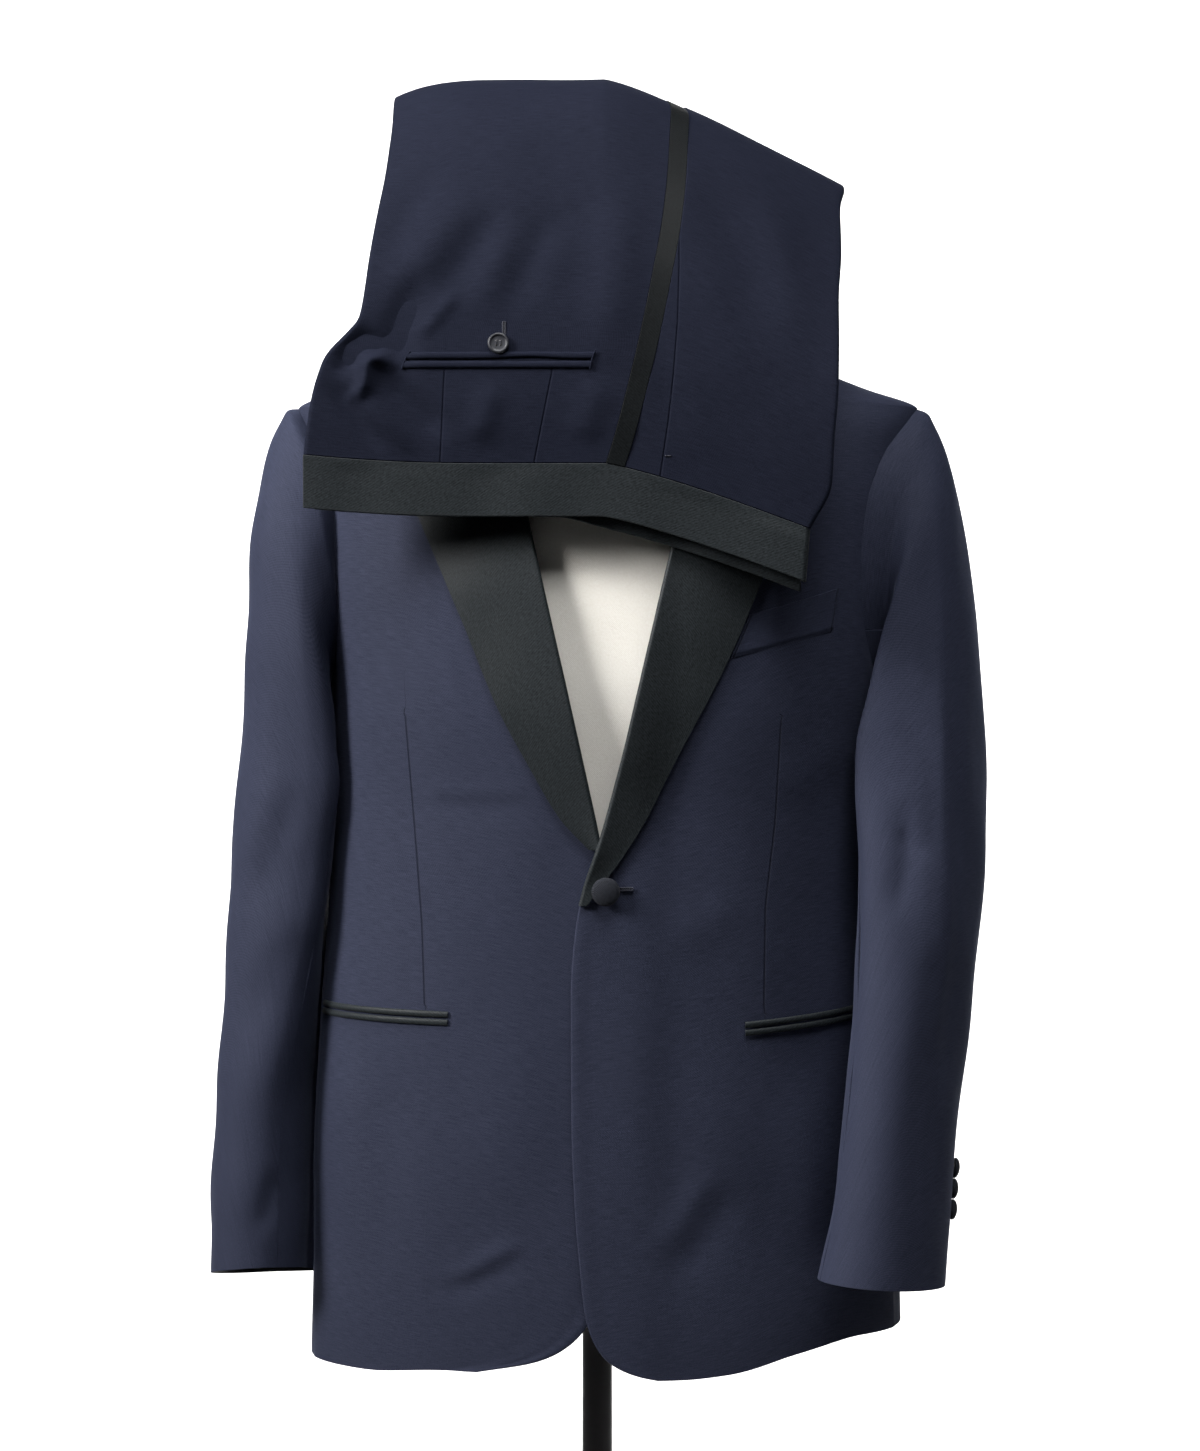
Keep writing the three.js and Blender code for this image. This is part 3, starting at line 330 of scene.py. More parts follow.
def outer_edge_angle(row, mirror, side):
    arm_end = HEM_ZONE + ARM_ZONE
    stop = np.where(row <= HEM_ZONE, JOIN_STOP, np.clip(arm_end - row, 0, JOIN_STOP))
    edge = armhole(stop if mirror > 0 else STOPS - stop, side)[0]
    reach = np.where(row >= arm_end, 0, np.abs(90 - edge))
    return 90 - mirror * reach


# Meshes


def grid_normals(points, out):
    along = np.gradient(points, axis=0)
    across = np.gradient(points, axis=1)
    return unit(np.cross(across, along)) * out


def raised(points, out, height):
    """A grid moved along its normals."""
    return points + grid_normals(points, out) * np.asarray(height, float)[..., None]


def roll_edge(points, out, edge, radius, turn, steps=9):
    """Carries a grid on round a folded edge. edge is first or last, across the columns."""
    if edge == "first":
        return roll_edge(points[:, ::-1], -out, "last", radius, turn, steps)[:, ::-1]
    normal = grid_normals(points, out)[:, -1]
    outward = unit(points[:, -1] - points[:, -2])
    outward = unit(outward - normal * np.sum(outward * normal, axis=-1, keepdims=True))
    lines = [points]
    for k in range(1, steps + 1):
        phi = turn * k / steps
        line = points[:, -1] + outward * radius * math.sin(phi) - normal * radius * (1 - math.cos(phi))
        lines.append(line[:, None])
    return np.concatenate(lines, axis=1)


def linked(name, data):
    """A new object of the scene."""
    made = bpy.data.objects.new(name, data)
    bpy.context.scene.collection.objects.link(made)
    return made


def smooth_mesh(name, points, faces, finish):
    mesh = bpy.data.meshes.new(name)
    mesh.from_pydata(points, [], faces)
    mesh.polygons.foreach_set("use_smooth", np.ones(len(mesh.polygons), bool))
    mesh.materials.append(finish)
    return mesh


def soften(piece, width, segments, angle):
    """Rounds the sharp edges of a piece. width in millimetres, angle in degrees."""
    bevel = piece.modifiers.new("soft edge", "BEVEL")
    bevel.width = width * MM
    bevel.segments = segments
    bevel.limit_method = "ANGLE"
    bevel.angle_limit = math.radians(angle)
    bevel.harden_normals = True


def settle(piece):
    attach(piece, "root")
    return piece


def lay(piece, name):
    """Hides the imported model's part of that name, which the sheet replaces."""
    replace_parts(piece, name)


def sheet_mesh(name, points, out, finish, wall=CLOTH, lining=None, lines=None, rim=0.3):
    """Cloth of a real thickness from a grid of points on its outer face, with its weave in metres."""
    rows, columns = points.shape[:2]
    index = np.arange(rows * columns).reshape(rows, columns)
    a, b, c, d = index[:-1, :-1], index[:-1, 1:], index[1:, 1:], index[1:, :-1]
    order = (a, b, c, d) if out > 0 else (d, c, b, a)
    faces = np.stack([q.ravel() for q in order], axis=1)
    mesh = smooth_mesh(name, (points.reshape(-1, 3) * MM).tolist(), faces.tolist(), finish)
    across = np.linalg.norm(np.diff(points, axis=1), axis=-1)
    along = np.linalg.norm(np.diff(points, axis=0), axis=-1)
    u = np.concatenate([np.zeros((rows, 1)), np.cumsum(across, axis=1)], axis=1) * MM
    v = np.concatenate([np.zeros((1, columns)), np.cumsum(along, axis=0)], axis=0) * MM
    layer = mesh.uv_layers.new(name="weave")
    corner = np.zeros(len(mesh.loops), np.int32)
    mesh.loops.foreach_get("vertex_index", corner)
    layer.data.foreach_set("uv", np.stack([u.ravel()[corner], v.ravel()[corner]], axis=1).ravel())
    for key, values in (lines or {}).items():
        attribute = mesh.attributes.new(key, "FLOAT", "POINT")
        values = np.broadcast_to(values, (rows, columns))
        attribute.data.foreach_set("value", values.ravel().astype(np.float32))
    if lining:
        mesh.materials.append(lining)
    piece = linked(name + "_cloth", mesh)
    solidify = piece.modifiers.new("thickness", "SOLIDIFY")
    solidify.thickness = wall * MM
    solidify.offset = -1
    if lining:
        solidify.material_offset = 1
    soften(piece, rim * wall, 2, 55)
    return settle(piece)


def solid_mesh(name, points, finish, bevel=0.0):
    """Closed form through rings of the same number of points, closed at both ends."""
    rings, count = points.shape[:2]
    faces = []
    for j in range(rings - 1):
        for i in range(count):
            n = (i + 1) % count
            faces.append((j * count + i, j * count + n, (j + 1) * count + n, (j + 1) * count + i))
    faces.append(tuple(range(count))[::-1])
    faces.append(tuple((rings - 1) * count + i for i in range(count)))
    mesh = smooth_mesh(name, (points.reshape(-1, 3) * MM).tolist(), faces, finish)
    piece = linked(name + "_form", mesh)
    if bevel:
        soften(piece, bevel, 3, 35)
    return settle(piece)


def turned(name, profile, finish, sides=64, place=(0, 0, 0), axis=(0, 0, 1), bevel=0.0):
    """Turned form through rows of radius and height along an axis. Ends on the axis get a tiny disc."""
    turn = 2 * math.pi * np.arange(sides) / sides
    radius = np.maximum(np.array([r for r, _ in profile], float), 0.02)[:, None]
    height = np.array([h for _, h in profile], float)[:, None]
    points = stack(radius * np.cos(turn), radius * np.sin(turn), height + 0 * turn)
    spin = Vector((0, 0, 1)).rotation_difference(Vector(axis)).to_matrix()
    points = points @ np.array(spin).T + np.array(place, float)
    return solid_mesh(name, points, finish, bevel)


def rounded(profile, steps=5):
    """A profile with a smooth line through its points."""
    points = np.array(profile, float)
    padded = np.concatenate([points[:1], points, points[-1:]])
    result = []
    for k in range(len(points) - 1):
        a, b, c, d = padded[k : k + 4]
        for t in np.linspace(0, 1, steps, endpoint=False):
            result.append(0.5 * (2 * b + (c - a) * t + (2 * a - 5 * b + 4 * c - d) * t * t
                                 + (3 * b - a - 3 * c + d) * t**3))
    result.append(points[-1])
    return [tuple(p) for p in result]


# Finishes


WOOL_DEEP = (0.0105, 0.0128, 0.0250)
WOOL_MIDDLE = (0.018, 0.0215, 0.038)
WOOL_PALE = (0.0350, 0.0400, 0.0690)
# Painted shade: the dark navy that seams, darts and the pocket mouth are blended towards, standing in for the
# shade in their sunk lines.
WOOL_SEAM_SHADE = (0.005, 0.006, 0.012)
SATIN_DEEP = (0.0055, 0.0070, 0.0080)
SATIN_MIDDLE = (0.013, 0.0165, 0.019)
SATIN_PALE = (0.0225, 0.0275, 0.0310)
SEAM_GROOVE = 0.6
STITCH_LENGTH = 0.0014
SHADER_INPUTS = {
    "sheen_weight": "Sheen Weight",
    "sheen_roughness": "Sheen Roughness",
    "sheen_tint": "Sheen Tint",
    "specular": "Specular IOR Level",
}


class Finish:
    """A node material under construction."""

    def __init__(self, name):
        self.material = bpy.data.materials.new(name)
        self.material.use_nodes = True
        self.tree = self.material.node_tree
        self.shader = self.tree.nodes["Principled BSDF"]

    def put(self, socket, value):
        """Links a value to a socket, or sets it there where it is a plain number or colour."""
        if isinstance(value, bpy.types.NodeSocket):
            self.tree.links.new(value, socket)
        else:
            socket.default_value = value

    def node(self, kind, inputs=None, **settings):
        made = self.tree.nodes.new(kind)
        for key, value in settings.items():
            setattr(made, key, value)
        for key, value in (inputs or {}).items():
            self.put(made.inputs[key], value)
        return made

    def math(self, operation, a, b=0.0):
        return self.node("ShaderNodeMath", {0: a, 1: b}, operation=operation).outputs[0]

    def total(self, *parts, base=0.0):
        """A plain number and a sum of values, each times its own weight."""
        result = base
        for value, weight in parts:
            result = self.math("ADD", self.math("MULTIPLY", value, weight), result)
        return result

    def noise(self, where, scale, detail=2.0, roughness=0.5):
        node = self.node("ShaderNodeTexNoise", {"Vector": where, "Scale": scale, "Detail": detail,
                                                "Roughness": roughness})
        return node.outputs["Fac"]

    def place(self):
        return self.node("ShaderNodeTexCoord").outputs["Object"]

    def weave(self):
        node = self.node("ShaderNodeUVMap", uv_map="weave")
        split = self.node("ShaderNodeSeparateXYZ", {0: node.outputs["UV"]})
        return split.outputs["X"], split.outputs["Y"]

    def ribs(self, u, v, share_u, share_v, period):
        """Height of parallel ribs, from 0 to 1. period is in metres."""
        turns = 2 * math.pi / period
        phase = self.total((u, share_u * turns), (v, share_v * turns))
        return self.total((self.math("SINE", phase), 0.5), base=0.5)

    def slubs(self, u, v, share_u, share_v, across, along):
        """Uneven threads lying side by side in one direction of the weave. across and along in metres."""
        x = self.total((u, share_u / across), (v, share_v / across))
        y = self.total((u, -share_v / along), (v, share_u / along))
        return self.noise(self.node("ShaderNodeCombineXYZ", {0: x, 1: y}).outputs[0], 1.0, 2)

    def ramp(self, value, stops):
        node = self.node("ShaderNodeValToRGB", {"Fac": value})
        elements = node.color_ramp.elements
        while len(elements) < len(stops):
            elements.new(0.5)
        for element, (position, colour) in zip(elements, stops):
            element.position = position
            element.color = (*colour, 1)
        return node.outputs["Color"]

    def blend(self, share, a, b):
        node = self.node("ShaderNodeMix", data_type="RGBA")
        names = {s.identifier: s for s in node.inputs}
        for identifier, value in (("Factor_Float", share), ("A_Color", a), ("B_Color", b)):
            self.put(names[identifier], (*value, 1) if isinstance(value, tuple) else value)
        return {s.identifier: s for s in node.outputs}["Result_Color"]

    def line(self, key, width):
        """1 on a seam or opening line of the piece and 0 away from it; key names its signed distance. It
        masks the painted shade and the bump that sinks the line in.
        """
        gap = self.node("ShaderNodeAttribute", attribute_name=key).outputs["Fac"]
        share = self.math("DIVIDE", gap, width)
        return self.math("EXPONENT", self.math("MULTIPLY", self.math("MULTIPLY", share, share), -1.0))

    def bump(self, height, distance, strength=1.0, after=None):
        inputs = {"Height": height, "Distance": distance, "Strength": strength}
        if after is not None:
            inputs["Normal"] = after
        return self.node("ShaderNodeBump", inputs).outputs["Normal"]

    def finish(self, colour, roughness, normal=None, **direct):
        for key, value in (("Base Color", colour), ("Roughness", roughness)):
            self.put(self.shader.inputs[key], value)
        if normal is not None:
            self.tree.links.new(normal, self.shader.inputs["Normal"])
        for key, value in direct.items():
            self.shader.inputs[SHADER_INPUTS[key]].default_value = value
        return self.material


def shaded(shade, colour):
    return tuple(shade * c for c in colour)


def wool(name, shaded_line_keys=(), shade=1.0, gloss=1.0):
    f = Finish(name)
    u, v = f.weave()
    where = f.place()
    twill = f.ribs(u, v, 0.75, 0.66, 0.0011)
    fibre = f.noise(where, 1500, 3)
    yarn = f.slubs(u, v, 0.04, 1.0, 0.0008, 0.0120)
    cloud = f.noise(where, 14, 3)
    colour = f.ramp(f.total((fibre, 0.5), (yarn, 0.4), (twill, 0.1)),
                    [(0.3, shaded(shade, WOOL_DEEP)), (0.7, shaded(shade, WOOL_PALE))])
    colour = f.blend(f.math("MULTIPLY", cloud, 0.3), colour, shaded(shade, WOOL_MIDDLE))
    normal = f.bump(f.total((twill, 0.3), (fibre, 0.5), (yarn, 0.25)), 0.00016, 0.6)
    normal = f.bump(f.noise(where, 55, 2), 0.0008, 0.25, normal)
    # Painted shade along each named line: the colour is darkened towards the seam colour, and a bump sinks
    # the line in.
    for key in shaded_line_keys:
        groove_and_shade = f.line(key, SEAM_GROOVE)
        colour = f.blend(f.math("MULTIPLY", groove_and_shade, 0.6), colour, WOOL_SEAM_SHADE)
        normal = f.bump(f.math("MULTIPLY", groove_and_shade, -1.0), 0.0006, 1.0, normal)
    rough = f.total((fibre, 0.16), base=0.68)
    return f.finish(colour, rough, normal, sheen_weight=0.07 * gloss, sheen_roughness=0.3,
                    sheen_tint=(0.45, 0.52, 0.8, 1), specular=0.1 * gloss)


def satin(name, shade=1.0, gloss=1.0):
    f = Finish(name)
    u, v = f.weave()
    where = f.place()
    rib = f.ribs(u, v, 0.55, 0.83, 0.0016)
    slub = f.slubs(u, v, 0.55, 0.83, 0.0009, 0.0030)
    yarn = f.noise(where, 900, 2)
    cloud = f.noise(where, 20, 3)
    threads = f.total((rib, 0.12), (slub, 0.58), (yarn, 0.3))
    colour = f.ramp(threads, [(0.34, shaded(shade, SATIN_DEEP)), (0.66, shaded(shade, SATIN_PALE))])
    colour = f.blend(f.math("MULTIPLY", cloud, 0.25), colour, shaded(shade, SATIN_MIDDLE))
    normal = f.bump(threads, 0.0006, 0.45)
    normal = f.bump(f.noise(where, 70, 2), 0.0008, 0.12, normal)
    return f.finish(colour, f.total((threads, 0.2), base=0.42), normal, sheen_weight=0.05 * gloss,
                    sheen_roughness=0.4, specular=0.24 * gloss)


def plain_cloth(name, low, high, scale, rough, depth=0.0002, gloss=1.0):
    """Cloth without a UV weave: two crossed sets of threads in object space."""
    f = Finish(name)
    where = f.place()
    thread = f.noise(where, scale, 2)
    cloud = f.noise(where, 12, 3)
    colour = f.ramp(f.total((thread, 0.6), (cloud, 0.4)), [(0.3, low), (0.7, high)])
    split = f.node("ShaderNodeSeparateXYZ", {0: where})
    turns = 2 * math.pi / STITCH_LENGTH
    wale = f.math("SINE", f.math("MULTIPLY", f.math("ADD", split.outputs["X"], split.outputs["Y"]), turns))
    course = f.math("SINE", f.math("MULTIPLY", split.outputs["Z"], turns))
    knit = f.math("MULTIPLY", wale, course)
    normal = f.bump(f.total((knit, 0.4), base=thread), depth, 0.6)
    return f.finish(colour, f.total((thread, 0.15), base=rough), normal,
                    sheen_weight=0.15 * gloss, specular=0.3 * gloss)


def powder_coat(name):
    f = Finish(name)
    where = f.place()
    grain = f.noise(where, 1400, 2)
    wear = f.noise(where, 25, 4)
    colour = f.ramp(wear, [(0.35, (0.0115, 0.0100, 0.0115)), (0.7, (0.021, 0.0180, 0.0210))])
    normal = f.bump(grain, 0.00012, 0.6)
    return f.finish(colour, f.total((wear, 0.2), base=0.34), normal, specular=0.5)


def moulded(name):
    f = Finish(name)
    where = f.place()
    swirl = f.noise(where, 160, 4, 0.65)
    colour = f.ramp(swirl, [(0.35, (0.008, 0.009, 0.013)), (0.7, (0.022, 0.024, 0.032))])
    normal = f.bump(f.noise(where, 700, 2), 0.00006, 0.5)
    return f.finish(colour, f.total((swirl, 0.2), base=0.35), normal)


def backdrop_finish(name, tone):
    f = Finish(name)
    soft = f.noise(f.place(), 3, 2)
    colour = f.ramp(soft, [(0.3, (tone - 0.01,) * 3), (0.7, (tone,) * 3)])
    return f.finish(colour, 0.9, specular=0.1)


# Painted shade: the trousers use the jacket's navy wool darkened to 0.44 of its tone, standing in for dimmer
# light on them. They also have less gloss.
LEG_PAINTED_SHADE, LEG_GLOSS = 0.44, 0.2
navy = wool("navy wool")
# These wools darken their named lines as painted shade for seams, darts and a pocket mouth.
navy_seam_shaded = wool("navy wool with a shaded seam line", ("line_a",))
leg_wool = wool("trouser wool", (), LEG_PAINTED_SHADE, LEG_GLOSS)
leg_wool_seam_shaded = wool("trouser wool with a shaded seam line", ("line_a",), LEG_PAINTED_SHADE, LEG_GLOSS)
leg_wool_two_seams_shaded = wool("trouser wool with two shaded seam lines", ("line_a", "line_b"), LEG_PAINTED_SHADE, LEG_GLOSS)
dark_satin = satin("dark satin", 0.95, 0.6)
# Painted shade: the trouser stripe is the lapels' satin darkened to 0.3 of its tone, standing in for dimmer
# light on the trousers.
stripe_satin_shaded = satin("stripe satin in painted shade", 0.3, 0.3)
band_satin = satin("waistband satin", 0.95, 0.6)
lining = satin("lining", 0.8)
button_cloth = plain_cloth("button cloth", (0.006, 0.007, 0.010), (0.015, 0.017, 0.024), 900, 0.6,
                           0.0004, 0.4)
thread_finish = plain_cloth("sewing thread", (0.006, 0.007, 0.014), (0.014, 0.016, 0.03), 2500, 0.6)
jersey = plain_cloth("form jersey", (0.72, 0.69, 0.63), (0.80, 0.78, 0.73), 700, 0.75, 0.0003)
coat = powder_coat("black powder coat")
button_plastic = moulded("dark button")


# Jacket body

RIGHT_FRONT_FOLDS = [
    ([(-132, 1117), (-84, 1114.5), (-36, 1116)], 5, 0.8),
    ([(-132, 1108), (-84, 1106), (-36, 1108)], 8, -0.8),
    ([(-114, 765), (-80, 783), (-48, 803)], 7, 1.6),
    ([(-122, 757), (-84, 772), (-46, 790)], 9, -1.2),
    ([(-175, 950), (-178, 860), (-172, 765)], 16, 2.4),
    ([(-148, 940), (-150, 850), (-146, 760)], 18, -1.8),
    ([(-60, 980), (-66, 880), (-70, 800)], 30, 1.2),
]
LEFT_FRONT_FOLDS = [
    ([(84, 856), (62, 818), (38, 782)], 12, 1.6),
    ([(98, 846), (78, 804), (52, 768)], 14, -1.4),
    ([(150, 930), (152, 850), (148, 770)], 18, 2.0),
    ([(176, 920), (178, 850), (174, 770)], 16, -1.8),
    ([(40, 1000), (70, 1022), (110, 1040)], 16, 1.0),
    ([(120, 1110), (150, 1130), (185, 1160)], 16, 1.2),
]


def line_field(x, z, line, low, high):
    """Signed distance in millimetres to a near-vertical line, and far away beyond its ends."""
    gap = x - np.interp(z, [p[1] for p in line], [p[0] for p in line])
    beyond = np.maximum(low - z, 0) + np.maximum(z - high, 0)
    return gap + np.where(beyond > 0, np.sign(gap + 1e-9) * beyond * 1.5, 0)


EDGE_LINES = 5
WAIST_HEIGHT, BREAK_HEIGHT = 1000, 1036


def front_panel(name, side, edge, lift, folds, dart, seed):
    rows = panel_rows()[:, None]
    across = row_of(78)
    guess = row_height(rows, side * 12)
    inner = np.minimum(NECK_EDGE_ANGLE, side * angle_at_x(read(edge, "x", guess), guess))
    angle = mix(inner, outer_edge_angle(rows, 1, side), across)
    z = row_height(rows, side * angle)
    points = body_at(side * angle, z, lift(body_point(side * angle, z)[..., 0]))
    points = smooth(smooth(points, 3), 3, axis=1)
    below = ease((WAIST_HEIGHT - z) / 200)
    near_edge = within(across, 0.12, 0.06)
    height = creases(points, folds) + unevenness(points, 90, 0.5, seed)
    height = height + unevenness(points, 130, 1.0, seed + 1) * below
    inward = np.cumsum(np.linalg.norm(np.diff(points, axis=1, prepend=points[:, :1]), axis=-1), axis=1)
    facing = 1.5 * np.exp(-(((inward - 4) / 3.4) ** 2)) - 1.0 * np.exp(-(((inward - 10.5) / 3) ** 2))
    above_hem = ease(np.arange(len(points)) / 12)[:, None]
    height = height + facing * ease((BREAK_HEIGHT - z) / 30) * above_hem
    points = raised(points, side, height * (0.25 + 0.75 * near_edge))
    x = points[..., 0]
    # The dart is drawn as a line of painted shade along line_a, sunk in by a bump.
    dart_line = line_field(x, points[..., 2], dart, dart[0][1], dart[-1][1])
    radius = 0.15 + 1.35 * ease(np.arange(len(points)) / 7)[:, None]
    points = roll_edge(points, side, "first", radius, math.pi / 2, EDGE_LINES)
    dart_line = np.concatenate([np.repeat(dart_line[:, :1], EDGE_LINES, axis=1), dart_line], axis=1)
    piece = sheet_mesh(name, points, side, navy_seam_shaded, lining=lining,
                       lines={"line_a": dart_line})
    lay(piece, name)


def side_panel(name, side, seed):
    rows = column_of(120) ** 1.3
    across = row_of(34)
    angle, top = armhole(mix(JOIN_STOP, STOPS - JOIN_STOP, across), side)
    z = mix(read(HEM, "z", side * angle), top, rows)
    points = body_at(side * angle, z, np.zeros_like(z))
    points = raised(points, side, unevenness(points, 120, 0.8, seed) * within(across, 0.15, 0.15))
    piece = sheet_mesh(name, points, side, navy, lining=lining)
    lay(piece, name)


def back_panel(name, side, seed):
    rows = panel_rows()[:, None]
    across = row_of(74)
    angle = mix(180 - 0.05, outer_edge_angle(rows, -1, side), across)
    z = row_height(rows, side * angle)
    points = smooth(body_at(side * angle, z, np.zeros_like(z)), 3)
    edges = within(across, 0.08, 0.08)
    swell = unevenness(points, 140, 1.3, seed) * ease((1040 - z) / 220)
    swell = swell + unevenness(points, 100, 0.6, seed + 3)
    seam = 0.9 * np.exp(-((across * 200 / 5.0) ** 2))
    points = raised(points, -side, swell * edges - seam)
    piece = sheet_mesh(name, points, -side, navy, lining=lining)
    lay(piece, name)


def no_lift(x):
    return np.zeros_like(x)


LEFT_DART = [(118, 960), (119, 1035), (126, 1095), (130, 1168)]
RIGHT_DART = [(-122, 962), (-124, 1022), (-128, 1075), (-136, 1173)]
front_panel("jacket_front_left", 1, LEFT_FRONT_EDGE, closing_lift, LEFT_FRONT_FOLDS, LEFT_DART, 11)
front_panel("jacket_front_right", -1, RIGHT_FRONT_EDGE, no_lift, RIGHT_FRONT_FOLDS, RIGHT_DART, 23)
side_panel("jacket_side_left", 1, 31)
side_panel("jacket_side_right", -1, 37)
back_panel("jacket_back_left", 1, 41)
back_panel("jacket_back_right", -1, 47)


# Sleeves


def sleeve_ring(side, rows, stop, at):
    turn = 2 * math.pi * stop / STOPS
    c, s = signed_power(np.cos(turn), 0.95), signed_power(np.sin(turn), 0.95)
    out_x, out_z, in_x, in_z = (read(rows, k, at) for k in ("out_x", "out_z", "in_x", "in_z"))
    x = (out_x - in_x) / 2 * c - side * read(rows, "bow", at) * s * s
    if side > 0:
        x = x - read(LEFT_ARM_REACH, "reach", at) * np.maximum(0, s) ** 4
    else:
        x = x + read(RIGHT_ARM_REACH, "front", at) * np.maximum(0, s) ** 4
        x = x + read(RIGHT_ARM_REACH, "corner", at) * 2 * np.maximum(0, -c) * np.maximum(0, s)
        x = x + read(RIGHT_ARM_REACH, "back", at) * (2 * np.maximum(0, -c) * np.maximum(0, -s)) ** 1.3
    y = -read(rows, "deep", at) * s
    yaw = -side * np.radians(read(rows, "turn", at))
    return stack((out_x + in_x) / 2 + x * np.cos(yaw) - y * np.sin(yaw),
                 read(rows, "y", at) + x * np.sin(yaw) + y * np.cos(yaw),
                 (out_z + in_z) / 2 + (out_z - in_z) / 2 * c + read(rows, "rise", at) * s)


def sleeve_grid(side, rows, stop, at):
    hole_angle, hole_z = armhole(np.mod(stop, STOPS), side, -SEAM_TUCK)
    root = body_at(side * hole_angle, hole_z, -SEAM_TUCK)
    first = sleeve_ring(side, rows, stop, np.ones_like(at))
    share = np.clip(at, 0, 1)[..., None]
    return np.where(at[..., None] >= 1, sleeve_ring(side, rows, stop, at), mix(root, first, share))


SLEEVE_LINES = np.concatenate([np.linspace(0, 1, 12, endpoint=False), np.linspace(1, 8, 95, endpoint=False),
                               np.linspace(8, 12, 75)])


def sleeve_part(name, side, rows, start, stop, folds, seed):
    at, turn = np.meshgrid(SLEEVE_LINES, np.linspace(start, stop, 6 * (stop - start) + 1), indexing="ij")
    points = smooth(smooth(sleeve_grid(side, rows, turn, at), 8), 2, axis=1)
    away = ease(at / 1.5) * ease((12 - at) / 0.8)
    height = (creases(points, folds) + unevenness(points, 75, 0.8, seed)) * (0.15 + 0.85 * away)
    height = height + 1.1 * np.exp(-(((at - 0.75) / 0.55) ** 2)) * ease((6.5 - np.abs(turn)) / 3)
    piece = sheet_mesh(name, raised(points, side, height), side, navy, lining=lining)
    lay(piece, name)


LEFT_SLEEVE_FOLDS = [
    ([(214, 1115), (218, 1070), (208, 1020)], 10, -3.0),
    ([(238, 1090), (240, 1040), (236, 980)], 12, 2.0),
    ([(262, 1010), (250, 960), (238, 900)], 13, -1.8),
    ([(242, 1380), (246, 1250), (247, 1100), (244, 1000), (236, 880)], 6, 1.8),
    ([(212, 1092), (224, 1078), (238, 1074)], 4, -1.8),
    ([(205, 1240), (222, 1180), (232, 1120)], 12, -1.6),
]
RIGHT_SLEEVE_FOLDS = [
    ([(-228, 846), (-236, 818), (-243, 790)], 9, -2.6),
    ([(-214, 850), (-222, 815), (-228, 780)], 9, 1.6),
    ([(-210, 1130), (-232, 1080), (-252, 1020)], 13, -2.0),
    ([(-222, 1150), (-248, 1090), (-266, 1040)], 14, 1.6),
    ([(-206, 1020), (-232, 990), (-256, 940)], 14, -1.6),
]
for side_name, side, rows, folds in (("left", 1, LEFT_SLEEVE, LEFT_SLEEVE_FOLDS),
                                     ("right", -1, RIGHT_SLEEVE, RIGHT_SLEEVE_FOLDS)):
    sleeve_part(f"sleeve_top_{side_name}", side, rows, BACK_SEAM_STOP, FRONT_SEAM_STOP, folds,
                53 + side)
    sleeve_part(f"sleeve_under_{side_name}", side, rows, FRONT_SEAM_STOP, BACK_SEAM_STOP + STOPS, [],
                59 + side)


# Lapels and collar


LAPEL_ROLL, LAPEL_BREAK = 3.5, 1045


def lapel(name, side, front_edge, lapel_edge, lift, seed):
    across = row_of(46)
    share = column_of(150)
    z = mix(lapel_edge["z"][0], read(PEAK, "z", across), share)
    x = mix(read(front_edge, "x", z), read(lapel_edge, "x", z), across)
    roll = LAPEL_ROLL * (1 - across) ** 1.5 * ease((z - LAPEL_BREAK) / 30) * ease((1330 - z) / 200)
    base = lift(x) + LAY_GAP + LAPEL_WALL + roll
    points = body_at(angle_at_x(x, z), z, base)
    points = raised(points, side, unevenness(points, 70, 0.35, seed))
    points = roll_edge(points, side, "first", 2.4, math.pi * 0.75, 12)
    piece = sheet_mesh(name, points, side, dark_satin, wall=1.8, rim=0.35)
    lay(piece, name)


lapel("lapel_left", 1, LEFT_FRONT_EDGE, LEFT_LAPEL_EDGE, closing_lift, 61)
lapel("lapel_right", -1, RIGHT_FRONT_EDGE, RIGHT_LAPEL_EDGE, no_lift, 67)


def collar(name):
    last = COLLAR["at"][-1]
    share = np.linspace(-1, 1, 181)[None, :]
    at = last - np.abs(share) * last
    side = np.where(share < 0, -1.0, 1.0)
    folds = np.array(rounded(np.stack(list(COLLAR_FOLDS.values()), axis=1), 12))
    line = np.linspace(0, 1, len(folds))
    shares, stands, outs = (np.interp(column_of(44), line, folds[:, k]) for k in (1, 2, 3))
    roll = body_at(side * read(COLLAR, "roll_angle", at),
                   np.minimum(read(COLLAR, "roll_z", at), NECK_HEIGHT), np.full_like(at, LAY_GAP))
    edge = body_at(side * read(COLLAR, "edge_angle", at), read(COLLAR, "edge_z", at),
                   np.full_like(at, LAY_GAP + COLLAR_WALL))
    outward = unit(roll * (1, 1, 0))
    base = roll + outward * outs[..., None]
    base[..., 2] += 0.5 + COLLAR_WALL + read(COLLAR, "lift", at) * stands
    points = mix(base, edge + 0 * base, shares[..., None])
    points = smooth(points, 2, axis=1)
    normal = grid_normals(points, 1)
    fall = slice(30, 40)
    out = 1 if np.sum(normal[fall] * outward) > 0 else -1
    points = raised(points, out, COLLAR_WALL)
    piece = sheet_mesh(name, points, out, dark_satin, wall=COLLAR_WALL)
    lay(piece, name)


collar("collar")


# Pockets, buttons and buttonholes


def half_round(share):
    return np.sqrt(np.maximum(0, 1 - (2 * share - 1) ** 2))


def strip(name, points, out, finish, wall, lines=None):
    lay(sheet_mesh(name, points, out, finish, wall=wall, lines=lines), name)


